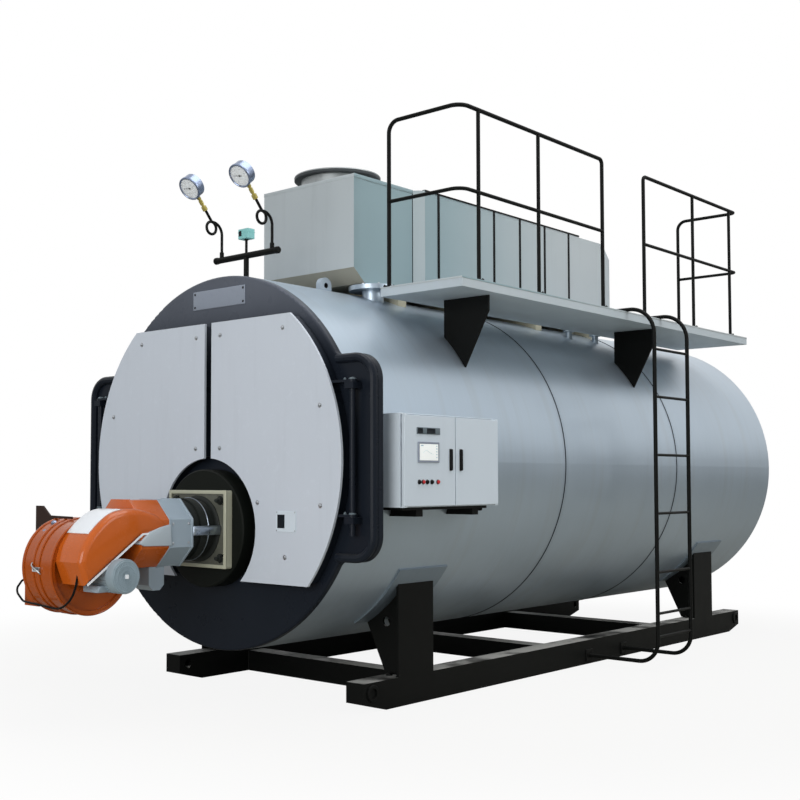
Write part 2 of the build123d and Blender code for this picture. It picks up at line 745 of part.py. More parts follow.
with BuildPart() as economizer_supports:
    half = ECO_WIDE - SUPPORT_INSET
    for count in range(SUPPORTS):
        y = eco_y[0] + SUPPORT_BACK + count * SUPPORT_PITCH
        block((-half, half), (y - SUPPORT_T / 2, y + SUPPORT_T / 2), (SHELL_Z, eco_z[0]))
    clear_shell()
save(economizer_supports, "economizer_supports")

flue_top = eco_z[1] + FLUE_H
with BuildPart() as flue_neck:
    rod((0, flue_y, eco_z[1]), (0, flue_y, flue_top), FLUE_R)
    with BuildSketch(Plane.XY.offset(flue_top)):
        with Locations((0, flue_y)):
            Circle(FLUE_R + FLUE_LIP)
            with PolarLocations(FLUE_R + FLUE_LIP - FLUE_PCD_INSET, FLUE_BOLTS):
                Circle(FLUE_BOLT_R, mode=Mode.SUBTRACT)
    extrude(amount=FLUE_FLANGE_T)
    rod((0, flue_y, eco_z[1]), (0, flue_y, flue_top + FLUE_FLANGE_T), FLUE_R - FLUE_WALL, Mode.SUBTRACT)
save(flue_neck, "flue_neck")

# Walkway beside the economizer, on two brackets welded to the shell
deck_x = (ECO_WIDE + DECK_OFF, ECO_WIDE + DECK_OFF + DECK_W)
deck_y = (FRONT_Y + DECK_BACK, FRONT_Y + DECK_BACK + DECK_L)
deck_z = (over_shell(deck_x[0]) + DECK_RISE, over_shell(deck_x[0]) + DECK_RISE + DECK_T)
with BuildPart() as deck:
    block(deck_x, deck_y, deck_z)
save(deck, "deck")


def on_shell(angle, sink):
    """(x, z) of a point an angle away from the shell's top, sunk below its surface."""
    turn = radians(angle)
    return ((SHELL_R - sink) * sin(turn), SHELL_Z + (SHELL_R - sink) * cos(turn))


with BuildPart() as deck_brackets:
    tip_x = deck_x[1] - DECK_BRACKET_OUT
    for step in BRACKET_YS:
        with BuildSketch(facing(deck_y[0] + step + DECK_BRACKET_T / 2)):
            with BuildLine():
                Polyline(
                    (deck_x[0] + DECK_BRACKET_INSET, deck_z[0]), (tip_x, deck_z[0]),
                    (tip_x, deck_z[0] - DECK_BRACKET_LIP), on_shell(DECK_BRACKET_FOOT_DEG, 0),
                    on_shell(DECK_BRACKET_HEEL_DEG, DECK_BRACKET_SINK), close=True,
                )
            make_face()
        extrude(amount=DECK_BRACKET_T)
    clear_shell()
save(deck_brackets, "deck_brackets")

rail_x = deck_x[1] - RAIL_INSET


def handrail(inner_x, inner_y, length, post_steps, bends):
    """Top and middle rail from an inner post round the deck corner to an end post, with posts between."""
    foot = deck_z[1]
    top, mid = foot + RAIL_TOP, foot + RAIL_MID
    end_y = inner_y + length
    way = 1 if length > 0 else -1
    bent_tube(
        ((inner_x, inner_y, foot), (inner_x, inner_y, top), (rail_x, inner_y, top),
         (rail_x, end_y, top), (rail_x, end_y, foot)), bends, RAIL_R)
    bent_tube(((inner_x, inner_y, mid), (rail_x, inner_y, mid), (rail_x, end_y, mid)), bends[1:2], MID_RAIL_R)
    for step in post_steps:
        rod((rail_x, inner_y + way * step, foot), (rail_x, inner_y + way * step, top), POST_R)


with BuildPart() as front_handrail:
    handrail(deck_x[0] + FRONT_RAIL_INNER, deck_y[0] + RAIL_INSET, FRONT_RAIL_L, FRONT_POSTS, FRONT_BENDS)
save(front_handrail, "front_handrail")

with BuildPart() as rear_handrail:
    handrail(deck_x[0] + REAR_RAIL_INNER, deck_y[1] - REAR_RAIL_SETBACK, -REAR_RAIL_L, REAR_POSTS, REAR_BENDS)
save(rear_handrail, "rear_handrail")

# Ladder hooked over the walkway edge, its feet turned in against the skid
with BuildPart() as ladder:
    hook_z = deck_z[1] + LADDER_R + FIT
    ladder_x = deck_x[1] + LADDER_OFF
    ladder_ys = (deck_y[0] + LADDER_Y, deck_y[0] + LADDER_Y + LADDER_W)
    for y in ladder_ys:
        bent_tube(
            ((deck_x[1] - LADDER_LAP, y, hook_z), (ladder_x, y, hook_z), (ladder_x, y, LADDER_FOOT_Z),
             (BEAM_OUT, y, LADDER_FOOT_Z)), LADDER_BENDS, LADDER_R)
    rung_zs = [*LOW_RUNG_ZS, *(deck_z[1] - drop for drop in TOP_RUNG_DROPS)]
    while rung_zs[-1] - RUNG_PITCH > LOW_RUNG_ZS[-1] + RUNG_PITCH / 2:
        rung_zs.append(rung_zs[-1] - RUNG_PITCH)
    for z in rung_zs:
        rod((ladder_x, ladder_ys[0], z), (ladder_x, ladder_ys[1], z), RUNG_R)
save(ladder, "ladder")

# Control cabinet: open box, two doors on corner pivots, shelf with two arms
cabinet_x = (SHELL_R + CABINET_OFF, SHELL_R + CABINET_OFF + CABINET_DEPTH)
cabinet_y = (FRONT_Y + CABINET_BACK, FRONT_Y + CABINET_BACK + CABINET_L)
cabinet_z = (SHELL_Z - CABINET_DOWN, SHELL_Z - CABINET_DOWN + CABINET_H)
body_front = cabinet_x[1] - CABINET_DOOR_T - CABINET_GAP
split_y = cabinet_y[0] + CABINET_LEAF
pivot_x = cabinet_x[1] - CABINET_DOOR_T / 2
pivot_ys = (cabinet_y[0] + PIVOT_INSET, cabinet_y[1] - PIVOT_INSET)
leaf_z = (cabinet_z[0] + PIVOT_TAB + FIT, cabinet_z[1] - PIVOT_TAB - FIT)


def pivot_pins(y, radius, depth, mode=Mode.ADD):
    """Upper and lower pin that reach from the pivot tabs into a door leaf."""
    for tab, tip in ((cabinet_z[0], leaf_z[0] + depth), (cabinet_z[1], leaf_z[1] - depth)):
        rod((pivot_x, y, tab), (pivot_x, y, tip), radius, mode)


with BuildPart() as cabinet:
    block((cabinet_x[0], body_front), cabinet_y, cabinet_z)
    inside = [(low + CABINET_WALL, high - CABINET_WALL) for low, high in (cabinet_y, cabinet_z)]
    block((cabinet_x[0] + CABINET_WALL, body_front), *inside, mode=Mode.SUBTRACT)
    for y in pivot_ys:
        tab_y = (y - PIVOT_INSET, y + PIVOT_INSET)
        tab_x = (body_front - CABINET_WALL, cabinet_x[1] - LEAF_FACE_ROUND)
        block(tab_x, tab_y, (cabinet_z[0], cabinet_z[0] + PIVOT_TAB))
        block(tab_x, tab_y, (cabinet_z[1] - PIVOT_TAB, cabinet_z[1]))
        pivot_pins(y, PIVOT_R, PIVOT_DEPTH)
save(cabinet, "cabinet")

for name, leaf_y, pivot_y in (
    ("cabinet_front_door", (cabinet_y[0], split_y - DOOR_GAP / 2), pivot_ys[0]),
    ("cabinet_rear_door", (split_y + DOOR_GAP / 2, cabinet_y[1]), pivot_ys[1]),
):
    with BuildPart() as leaf:
        block((cabinet_x[1] - CABINET_DOOR_T, cabinet_x[1]), leaf_y, leaf_z)
        uprights = leaf.faces().sort_by(Axis.X)[0].edges().filter_by(Axis.Z)
        fillet(uprights.sort_by_distance((pivot_x, pivot_y, leaf_z[0]))[0], LEAF_BACK_ROUND)
        fillet(leaf.faces().sort_by(Axis.X)[-1].edges(), LEAF_FACE_ROUND)
        pivot_pins(pivot_y, PIVOT_R + FIT, PIVOT_DEPTH + FIT, Mode.SUBTRACT)
    save(leaf, name)

with BuildPart() as cabinet_shelf:
    shelf_z = cabinet_z[0] - SHELF_T
    shelf_y = (cabinet_y[0] + SHELF_FRONT_INSET, cabinet_y[1] - SHELF_REAR_INSET)
    block((SHELL_R - SHELF_ROOT, body_front), shelf_y, (shelf_z, cabinet_z[0]))
    for y in (cabinet_y[0] + ARM_FRONT_INSET, cabinet_y[1] - ARM_REAR_INSET):
        arm_y = (y - ARM_W / 2, y + ARM_W / 2)
        block((SHELL_R - SHELF_ROOT, body_front - ARM_BACK), arm_y, (shelf_z - ARM_H, shelf_z))
    clear_shell()
save(cabinet_shelf, "cabinet_shelf")

# Lifting lugs and flanged connections along the top of the shell
with BuildPart() as lifting_lugs:
    y = FRONT_Y + HOIST_BACK
    hole_z = over_shell(HOIST_X) + HOIST_RISE
    for side in (-1, 1):
        with BuildSketch(Plane.YZ.offset(side * HOIST_X - HOIST_T / 2)):
            with Locations((y, hole_z)):
                Circle(HOIST_W / 2)
            with Locations((y, hole_z - HOIST_W)):
                Rectangle(HOIST_W, 2 * HOIST_W)
            with Locations((y, hole_z)):
                Circle(HOIST_HOLE_R, mode=Mode.SUBTRACT)
        extrude(amount=HOIST_T)
    clear_shell()
save(lifting_lugs, "lifting_lugs")

with BuildPart() as nozzles:
    for (x, back), radius, flange, rise in (
        (NOZZLE, NOZZLE_R, NOZZLE_FLANGE, NOZZLE_RISE),
        *((stub, STUB_R, STUB_FLANGE, STUB_RISE) for stub in STUBS),
    ):
        stops = [(x, FRONT_Y + back, over_shell(x + radius) - NOZZLE_ROOT)]
        stops += [(x, FRONT_Y + back, over_shell(x) + height) for height in (rise, rise + flange[1])]
        rod(stops[0], stops[1], radius)
        rod(stops[1], stops[2], flange[0])
    clear_shell()
save(nozzles, "nozzles")
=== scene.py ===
"""Dressed model of a horizontal steam boiler: finishes, small pieces, light and camera.

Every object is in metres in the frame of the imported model: X to the walkway side, Y from the burner
end to the rear, Z up, with the origin on the ground under the middle cross-beam.
"""

import logging
import math
from collections.abc import Callable, Iterable, Sequence
from dataclasses import dataclass, replace
from enum import Enum

import bpy
from mathutils import Matrix, Vector


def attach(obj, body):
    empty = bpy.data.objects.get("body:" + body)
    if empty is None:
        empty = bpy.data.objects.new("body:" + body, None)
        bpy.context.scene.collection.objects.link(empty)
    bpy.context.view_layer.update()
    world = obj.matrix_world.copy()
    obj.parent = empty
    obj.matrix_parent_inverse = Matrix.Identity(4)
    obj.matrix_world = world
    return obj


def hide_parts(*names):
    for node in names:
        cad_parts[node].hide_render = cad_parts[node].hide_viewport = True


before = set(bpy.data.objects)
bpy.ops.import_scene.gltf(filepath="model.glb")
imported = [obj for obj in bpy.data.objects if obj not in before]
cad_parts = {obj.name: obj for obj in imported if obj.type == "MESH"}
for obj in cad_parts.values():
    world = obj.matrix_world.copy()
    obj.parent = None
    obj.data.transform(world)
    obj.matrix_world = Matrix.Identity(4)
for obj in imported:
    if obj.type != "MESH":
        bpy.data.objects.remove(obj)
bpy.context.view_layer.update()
LOG = logging.getLogger("boiler")

Point = tuple[float, float, float]
Spot = tuple[float, float]
Colour = tuple[int, int, int]
FaceTest = Callable[[Vector, Vector], bool]
Sockets = dict[str | int, object]

WHITE = (1.0, 1.0, 1.0, 1.0)
SIDES = (-1, 1)
# Least cosine between the normal of a face and the way that it looks.
LEVEL_COSINE = 0.9
# Angle in radians over which an edge counts as sharp.
SHARP_ANGLE = 0.6
# Distance in metres under which two vertices become one.
MERGE_GAP = 0.00002
# Distance in metres from the axis under which a face lies across it.
AXIS_REACH = 0.01


class Body(Enum):
    """The moving bodies that pieces ride on."""

    BOILER = "boiler"
    LEFT_DOOR = "left_door"
    RIGHT_DOOR = "right_door"
    CABINET_FRONT = "cabinet_front_door"
    CABINET_REAR = "cabinet_rear_door"


class Way(Enum):
    """Directions that a piece can point and that a face can look."""

    RIGHT = (1.0, 0.0, 0.0)
    LEFT = (-1.0, 0.0, 0.0)
    BACK = (0.0, 1.0, 0.0)
    FRONT = (0.0, -1.0, 0.0)
    UP = (0.0, 0.0, 1.0)
    DOWN = (0.0, 0.0, -1.0)


class Tint(Enum):
    """Screen colours of what lies on a finish, of painted shade and sheen, and of the floor and the soft
    light.
    """

    # Paler, greyer tone towards the top.
    CHALK = (128, 134, 146)
    # Painted warm shade on undersides.
    PRIMER = (150, 142, 120)
    SOOT = (54, 56, 52)
    # Painted bluish shade on side faces.
    COOL = (136, 158, 163)
    # Pale dust, which also stands for painted sheen on the tops.
    DUST = (178, 176, 170)
    RAIN = (150, 148, 142)
    # Darker tone towards the bottom of the shell.
    GRIME = (120, 116, 108)
    JOINT = (92, 98, 108)
    SCUFF = (128, 130, 132)
    FLOOR = (172, 169, 158)
    LIGHT = (240, 246, 255)


def aimed(centre: Point, way: Way, spin: float = 0.0) -> Matrix:
    """Place for a shape that was made upright at the origin.

    Args:
        centre: Where its base goes.
        way: Direction that its upper side takes.
        spin: Turn about its own axis, in radians.

    Returns:
        The matrix that takes it there.
    """
    turned = Vector(way.value).to_track_quat("Z", "Y").to_matrix().to_4x4()
    return Matrix.Translation(centre) @ turned @ Matrix.Rotation(spin, 4, "Z")


def outer(side: int) -> Way:
    """The way outwards on one side: minus one is left, one is right."""
    return Way.RIGHT if side > 0 else Way.LEFT


def linear(colour: Colour, gain: float = 1.0) -> tuple[float, float, float, float]:
    """Screen colour as the linear values that shaders take.

    Args:
        colour: Red, green and blue from 0 to 255.
        gain: Factor on the linear values.

    Returns:
        Red, green, blue and alpha.
    """
    parts = []
    for level in colour:
        share = level / 255
        straight = share / 12.92 if share <= 0.04045 else ((share + 0.055) / 1.055) ** 2.4
        parts.append(min(1.0, gain * straight))
    return (*parts, 1.0)


class Value:
    """A shader socket that takes part in Python arithmetic."""

    def __init__(self, graph: "Graph", socket: bpy.types.NodeSocket | None) -> None:
        """Wrap one output socket of a graph; an end node has none."""
        self.graph = graph
        self.socket = socket

    def _math(self, operation: str, *operands: "Value | float") -> "Value":
        """Add one Math node and return its result."""
        return self.graph.node("ShaderNodeMath", dict(enumerate(operands)), {"operation": operation})

    def __add__(self, other: "Value | float") -> "Value":
        """Sum."""
        return self._math("ADD", self, other)

    def __sub__(self, other: "Value | float") -> "Value":
        """Difference."""
        return self._math("SUBTRACT", self, other)

    def __mul__(self, other: "Value | float") -> "Value":
        """Product."""
        return self._math("MULTIPLY", self, other)

    __radd__ = __add__
    __rmul__ = __mul__

    def absolute(self) -> "Value":
        """Size without sign."""
        return self._math("ABSOLUTE", self)

    def wave(self) -> "Value":
        """Sine."""
        return self._math("SINE", self)

    def larger(self, other: "Value | float") -> "Value":
        """The larger of two."""
        return self._math("MAXIMUM", self, other)

    def spread(self, low: float, high: float, to_low: float = 0.0, to_high: float = 1.0) -> "Value":
        """Smooth step from one range to another.

        Args:
            low: Input where the step starts.
            high: Input where it ends.
            to_low: Result at the start.
            to_high: Result at the end.

        Returns:
            The stepped value.
        """
        sockets = {"Value": self, "From Min": low, "From Max": high, "To Min": to_low, "To Max": to_high}
        return self.graph.node("ShaderNodeMapRange", sockets, {"interpolation_type": "SMOOTHSTEP"})


class Graph:
    """One node tree, whose nodes are all added by one method."""

    def __init__(self, tree: bpy.types.NodeTree) -> None:
        """Start from an emptied tree."""
        self.tree = tree
        self.tree.nodes.clear()

    def node(
        self,
        kind: str,
        sockets: Sockets | None = None,
        settings: dict[str, object] | None = None,
        output: str | int = 0,
    ) -> Value:
        """Add a node.

        Args:
            kind: Node type.
            sockets: Values or links of the inputs, by name or index.
            settings: Attributes, set first.
            output: Output that is handed back.

        Returns:
            The chosen output.
        """
        made = self.tree.nodes.new(kind)
        for name, setting in (settings or {}).items():
            setattr(made, name, setting)
        for name, operand in (sockets or {}).items():
            if isinstance(operand, Value):
                self.tree.links.new(operand.socket, made.inputs[name])
            else:
                made.inputs[name].default_value = operand
        return Value(self, made.outputs[output] if len(made.outputs) else None)

    def place(self, stretch: Point = (1.0, 1.0, 1.0)) -> Value:
        """Object coordinates, stretched."""
        here = self.node("ShaderNodeTexCoord", output="Object")
        return self.node("ShaderNodeMapping", {"Vector": here, "Scale": stretch})

    def noise(self, scale: float, detail: float = 3.0, stretch: Point = (1.0, 1.0, 1.0)) -> Value:
        """Noise about a half, over the object's own coordinates."""
        sockets = {"Vector": self.place(stretch), "Scale": scale, "Detail": detail, "Roughness": 0.55}
        return self.node("ShaderNodeTexNoise", sockets, output="Fac")

    def facing(self, axis: int) -> Value:
        """One component of the surface normal."""
        normal = self.node("ShaderNodeNewGeometry", output="Normal")
        return self.node("ShaderNodeSeparateXYZ", {0: normal}, output=axis)

    def along(self, axis: int) -> Value:
        """One component of the object coordinates."""
        return self.node("ShaderNodeSeparateXYZ", {0: self.place()}, output=axis)

    def blend(self, share: "Value | float", first: object, second: object) -> Value:
        """Colour between two colours."""
        return self.node("ShaderNodeMix", {0: share, 6: first, 7: second}, {"data_type": "RGBA"}, 2)

    def layered(self, base: Value, layers: Sequence[tuple[Value, tuple[float, ...]]]) -> Value:
        """Colour with layers blended over it in turn.

        Args:
            base: Colour under the layers.
            layers: Share and colour of each layer.

        Returns:
            The colour on top.
        """
        for share, colour in layers:
            base = self.blend(share, base, colour)
        return base

    def bump(self, height: Value, strength: float, distance: float, under: Value | None = None) -> Value:
        """Normal of a surface raised by a height.

        Args:
            height: Height field.
            strength: Share of the effect.
            distance: Height in metres of a full step.
            under: Normal of a coarser bump below this one.

        Returns:
            The bumped normal.
        """
        sockets: Sockets = {"Height": height, "Strength": strength, "Distance": distance}
        if under is not None:
            sockets["Normal"] = under
        return self.node("ShaderNodeBump", sockets)

    def principled(self, sockets: Sockets) -> Value:
        """Principled shader with the given inputs."""
        return self.node("ShaderNodeBsdfPrincipled", sockets)

    def surface(self, shader: Value) -> None:
        """Make a shader the tree's output."""
        self.node("ShaderNodeOutputMaterial", {"Surface": shader})


@dataclass(frozen=True)
class Finish:
    """What a surface is made of; the kinds below say how it looks.

    Attributes:
        name: Material name.
        colour: Screen colour in plain light.
        roughness: Mean roughness.
        metallic: Metal share.
    """

    name: str
    colour: Colour
    roughness: float = 0.4
    metallic: float = 0.0

    def material(self) -> bpy.types.Material:
        """The material of this finish, made at its first use."""
        name = f"{self.name}_finish"
        known = bpy.data.materials.get(name)
        if known is not None:
            return known
        made = bpy.data.materials.new(name)
        made.use_nodes = True
        graph = Graph(made.node_tree)
        graph.surface(self.shader(graph))
        return made

    def shader(self, graph: Graph) -> Value:
        """Shader of the finish; each kind has its own."""
        raise NotImplementedError


@dataclass(frozen=True)
class Paint(Finish):
    """Sprayed paint: soft mottling, orange peel, dust on upward faces and streaks down the sides, painted
    shade on undersides and side faces, and in large dust shares painted sheen on upward faces.

    Attributes:
        coat: Clear coat share.
        gloss: Mirror level of the paint under the coat.
        paling: Share by which the colour turns paler and greyer towards the top of the shell.
        shade: Share of painted warm shade, with painted reflected light, on undersides.
        mottle: Share by which the colour drifts.
        peel: Strength of the fine orange-peel bump.
        sway: Strength of the slow unevenness of thin sheet.
        dust: Share of pale dust on upward faces; in large shares it is painted sheen of light on the tops as
            well.
        streak: Share of darker streaks down upright faces.
        wear: Share of rubbed, paler patches.
        soot: Share of dark staining on faces towards the front.
        painted_side_shade: Share of painted bluish shade on side faces, strongest at the front and gone
            towards the rear.
    """

    coat: float = 0.0
    gloss: float = 0.4
    paling: float = 0.0
    shade: float = 0.0
    mottle: float = 0.08
    peel: float = 0.12
    sway: float = 0.0
    dust: float = 0.1
    streak: float = 0.05
    wear: float = 0.06
    soot: float = 0.0
    painted_side_shade: float = 0.0

    def shader(self, graph: Graph) -> Value:
        """Principled shader whose colour and roughness drift together.

        Args:
            graph: Graph that gets the nodes.

        Returns:
            The shader.
        """
        drift = graph.noise(1.7, 4.0)
        base = graph.blend(drift, linear(self.colour, 1 - self.mottle), linear(self.colour, 1 + self.mottle))
        runs = graph.noise(5.0, 3.0, (3.0, 3.0, 0.25)).spread(0.52, 0.75) * self.streak
        rubbed = graph.noise(26.0, 5.0).spread(0.58, 0.72) * self.wear
        # Paler and greyer towards the top.
        paled = graph.along(2).spread(2.0, 2.6) * (0.6 + 0.8 * graph.noise(1.2, 3.0)) * self.paling
        # Painted warm shade, with painted reflected light, on undersides.
        below = graph.facing(2).spread(-0.35, -0.6) * self.shade
        stained = graph.facing(1).spread(-0.8, -0.95) * (0.8 + 0.4 * graph.noise(9.0, 4.0)) * self.soot
        # Painted shade on side faces, strongest at the front.
        side_shade = graph.facing(0).spread(0.5, 0.9) * graph.along(1).spread(0.9, -1.5) * self.painted_side_shade
        # Pale dust on upward faces; in large shares also painted sheen of light on the tops.
        dust_and_sheen = graph.facing(2).spread(0.55, 0.95) * graph.noise(3.5, 5.0).spread(0.3, 0.7) * self.dust
        base = graph.layered(base, (
            (runs, linear(self.colour, 0.45)),
            (rubbed, linear(self.colour, 1.5)),
            (paled, linear(Tint.CHALK.value)),
            (below, linear(Tint.PRIMER.value)),
            (stained, linear(Tint.SOOT.value)),
            (side_shade, linear(Tint.COOL.value)),
            (dust_and_sheen, linear(Tint.DUST.value)),
        ))
        rough = self.roughness + 0.22 * (graph.noise(7.0, 4.0) - 0.5) + 0.3 * dust_and_sheen + 0.2 * rubbed
        normal = graph.bump(graph.noise(1.9, 1.0), self.sway, 0.02)
        normal = graph.bump(graph.noise(240.0, 2.0), self.peel, 0.001, normal)
        return graph.principled({
            "Base Color": base,
            "Roughness": rough,
            "Metallic": self.metallic,
            "Coat Weight": self.coat,
            "Coat Roughness": 0.08,
            "Specular IOR Level": self.gloss,
            "Normal": normal,
        })


@dataclass(frozen=True)
class Cladding(Finish):
    """Silver sheet wrapped round the shell: rolled grain, slow dents, joint shading and a darker, mottled
    tone towards the bottom.

    Attributes:
        seams: Y of the sheet joints in metres.
        axis_z: Height of the shell's axis.
    """

    seams: tuple[float, ...] = ()
    axis_z: float = 1.472

    def shader(self, graph: Graph) -> Value:
        """Principled shader with the sheet's own variation.

        Args:
            graph: Graph that gets the nodes.

        Returns:
            The shader.
        """
        drift = graph.noise(0.9, 3.0)
        base = graph.blend(drift, linear(self.colour, 0.93), linear(self.colour, 1.06))
        grain = graph.noise(3.0, 2.0, (1.0, 70.0, 1.0))
        rain = graph.noise(1.6, 3.0, (1.0, 6.0, 0.35)).spread(0.5, 0.72)
        # Darker, mottled tone towards the bottom of the shell.
        low = graph.along(2).spread(self.axis_z - 0.2, self.axis_z - 1.1)
        low = low * graph.noise(2.2, 5.0).spread(0.3, 0.7)
        joint: Value | float = 0.0
        for seam in self.seams:
            joint = (graph.along(1) - seam).absolute().spread(0.05, 0.0) + joint
        base = graph.layered(base, (
            (grain.spread(0.35, 0.65) * 0.10, linear(self.colour, 0.8)),
            (rain * 0.12, linear(Tint.RAIN.value)),
            (low * 0.22, linear(Tint.GRIME.value)),
            (joint * 0.18, linear(Tint.JOINT.value)),
        ))
        rough = self.roughness + 0.16 * (graph.noise(2.6, 4.0) - 0.5) + 0.12 * (grain - 0.5) + 0.1 * low
        normal = graph.bump(graph.noise(1.3, 1.5), 0.16, 0.03)
        normal = graph.bump(grain, 0.03, 0.002, normal)
        return graph.principled(
            {"Base Color": base, "Roughness": rough, "Metallic": self.metallic, "Normal": normal})


@dataclass(frozen=True)
class BareMetal(Finish):
    """Unpainted metal with fine draw lines, smudges and tarnish.

    Attributes:
        tarnish: Share of darker spots.
        lines: Strength of the draw lines.
    """

    metallic: float = 1.0
    tarnish: float = 0.15
    lines: float = 0.05

    def shader(self, graph: Graph) -> Value:
        """Principled metal shader.

        Args:
            graph: Graph that gets the nodes.

        Returns:
            The shader.
        """
        spots = graph.noise(38.0, 5.0).spread(0.5, 0.75) * self.tarnish
        base = graph.blend(spots, linear(self.colour), linear(self.colour, 0.35))
        drawn = graph.noise(30.0, 2.0, (1.0, 1.0, 14.0))
        rough = self.roughness + 0.2 * (graph.noise(18.0, 4.0) - 0.5) + 0.3 * spots
        return graph.principled({
            "Base Color": base,
            "Roughness": rough,
            "Metallic": self.metallic,
            "Normal": graph.bump(drawn, self.lines, 0.001),
        })


@dataclass(frozen=True)
class TreadPaint(Finish):
    """Painted tread plate: raised lozenges in two directions on upward faces, scuffed along the middle.

    Attributes:
        pitch: Distance between lozenges in metres.
    """

    pitch: float = 0.06

    def shader(self, graph: Graph) -> Value:
        """Principled shader with the lozenges as a bump.

        Args:
            graph: Graph that gets the nodes.

        Returns:
            The shader.
        """
        turn = math.pi / self.pitch
        across = (graph.along(0) + graph.along(1)) * turn
        other = (graph.along(0) - graph.along(1)) * turn
        first, second = (
            ridge.wave().absolute().spread(0.93, 0.99) * length.wave().absolute().spread(0.45, 0.8)
            for ridge, length in ((across, other), (other, across)))
        upward = graph.facing(2).spread(0.7, 0.9)
        lozenge = first.larger(second) * upward
        drift = graph.noise(2.3, 4.0)
        base = graph.blend(drift, linear(self.colour, 0.92), linear(self.colour, 1.06))
        scuffed = lozenge * graph.noise(4.0, 4.0).spread(0.4, 0.65)
        base = graph.blend(scuffed * 0.5, base, linear(Tint.SCUFF.value))
        rough = self.roughness + 0.2 * (graph.noise(6.0, 4.0) - 0.5) - 0.12 * scuffed
        normal = graph.bump(graph.noise(200.0, 2.0), 0.1, 0.001)
        normal = graph.bump(lozenge, 0.6, 0.003, normal)
        return graph.principled({"Base Color": base, "Roughness": rough, "Normal": normal})


@dataclass(frozen=True)
class Clear(Finish):
    """Clear pane that is seen by its gloss and a faint film of dust.

    Attributes:
        veil: Share of light that a clean pane holds back.
    """

    veil: float = 0.06

    def shader(self, graph: Graph) -> Value:
        """Principled shader that is almost all see-through.

        Args:
            graph: Graph that gets the nodes.

        Returns:
            The shader.
        """
        film = graph.noise(22.0, 4.0).spread(0.45, 0.8)
        return graph.principled({
            "Base Color": linear(self.colour),
            "Roughness": self.roughness + 0.08 * film,
            "Alpha": self.veil + 0.05 * film,
        })


@dataclass(frozen=True)
class Lit(Finish):
    """Plastic with a slightly uneven glow: a back-lit screen, and on a gauge dial a faint painted glow.

    Attributes:
        glow: Emission strength.
    """

    glow: float = 0.3

    def shader(self, graph: Graph) -> Value:
        """Principled shader with emission.

        Args:
            graph: Graph that gets the nodes.

        Returns:
            The shader.
        """
        uneven = graph.noise(9.0, 2.0)
        base = graph.blend(uneven, linear(self.colour, 0.92), linear(self.colour, 1.0))
        return graph.principled({
            "Base Color": base,
            "Roughness": self.roughness + 0.05 * uneven,
            "Emission Color": base,
            "Emission Strength": self.glow,
        })


SEAMS = (-0.460, 1.208)
SHELL_SILVER = Cladding("shell_silver", (170, 184, 196), 0.34, 0.60, seams=SEAMS)
FRAME_BLACK = Paint(
    "frame_black", (18, 19, 18), 0.42, gloss=0.07, mottle=0.2, dust=0.05, streak=0.0, wear=0.04)
# The navy turns paler and greyer towards the top.
FRONT_NAVY = Paint(
    "front_navy", (26, 31, 39), 0.30, gloss=0.1, paling=0.42, mottle=0.1, dust=0.1, streak=0.05, wear=0.05)
# Upward faces of the skid turn pale grey: dust, and painted sheen of light on the tops.
SKID_BLACK = replace(FRAME_BLACK, name="skid_black", dust=1.7)
PAD_GREY = Paint("pad_grey", (130, 143, 154), 0.4, 0.5, mottle=0.06, dust=0.05, streak=0.1)
PANEL_GREY = Paint(
    "panel_grey", (196, 203, 212), 0.42, mottle=0.03, peel=0.08, sway=0.05, dust=0.05, streak=0.06)
DECK_GREY = TreadPaint("deck_grey", (184, 194, 199), 0.45)
# Painted warm shade on undersides, and painted bluish shade on the side faces towards the front.
ECO_GREY = Paint(
    "economizer_grey", (180, 187, 189), 0.44, shade=0.75, mottle=0.04, peel=0.06, sway=0.14, streak=0.1,
    wear=0.02, painted_side_shade=1.0)
SUPPORT_CREAM = Paint("support_cream", (186, 182, 160), 0.6, mottle=0.08, dust=0.2, streak=0.15)
FLUE_STEEL = BareMetal("flue_steel", (158, 163, 164), 0.42, 0.5, tarnish=0.3)
FLUE_DARK = Paint("flue_dark", (62, 66, 68), 0.5, gloss=0.2, mottle=0.15, peel=0.2, dust=0.15, wear=0.15)
CABINET_GREY = Paint(
    "cabinet_grey", (204, 214, 222), 0.48, mottle=0.03, peel=0.22, dust=0.08, streak=0.04, wear=0.02)
BURNER_ORANGE = Paint(
    "burner_orange", (186, 88, 24), 0.26, coat=0.4, gloss=0.15, mottle=0.06, peel=0.06, dust=0.06, wear=0.05)
# Darker copy of the burner orange: painted shade on the fan drum, its inlet and rings.
DRUM_ORANGE_SHADED = replace(
    BURNER_ORANGE, name="drum_orange_shaded", colour=(160, 72, 14), coat=0.35, gloss=0.12, mottle=0.08)
BURNER_GREY = Paint("burner_grey", (150, 164, 174), 0.38, coat=0.1, mottle=0.05, dust=0.05)
BURNER_DARK = Paint("burner_dark", (34, 37, 35), 0.5, gloss=0.15, mottle=0.15, peel=0.3, dust=0.05, wear=0.1)
BURNER_PLATE = replace(
    BURNER_DARK, name="burner_plate_dark", colour=(18, 21, 18), gloss=0.08, dust=0.03, wear=0.08)
BURNER_BROWN = Paint("burner_brown", (40, 25, 19), 0.5, gloss=0.2, mottle=0.15, dust=0.05, wear=0.1)
FLANGE_OLIVE = Paint("flange_olive", (172, 172, 152), 0.42, mottle=0.06, peel=0.1, dust=0.05, wear=0.1)
FLANGE_SOOTED = replace(FLANGE_OLIVE, name="flange_sooted", soot=0.85)
BRASS = BareMetal("brass", (176, 162, 88), 0.34, 0.45, tarnish=0.2)
GAUGE_STEEL = BareMetal("gauge_steel", (132, 144, 168), 0.26, 0.8, tarnish=0.06)
SWITCH_TEAL = Paint("switch_teal", (136, 198, 196), 0.5, mottle=0.04, peel=0.2, wear=0.03)
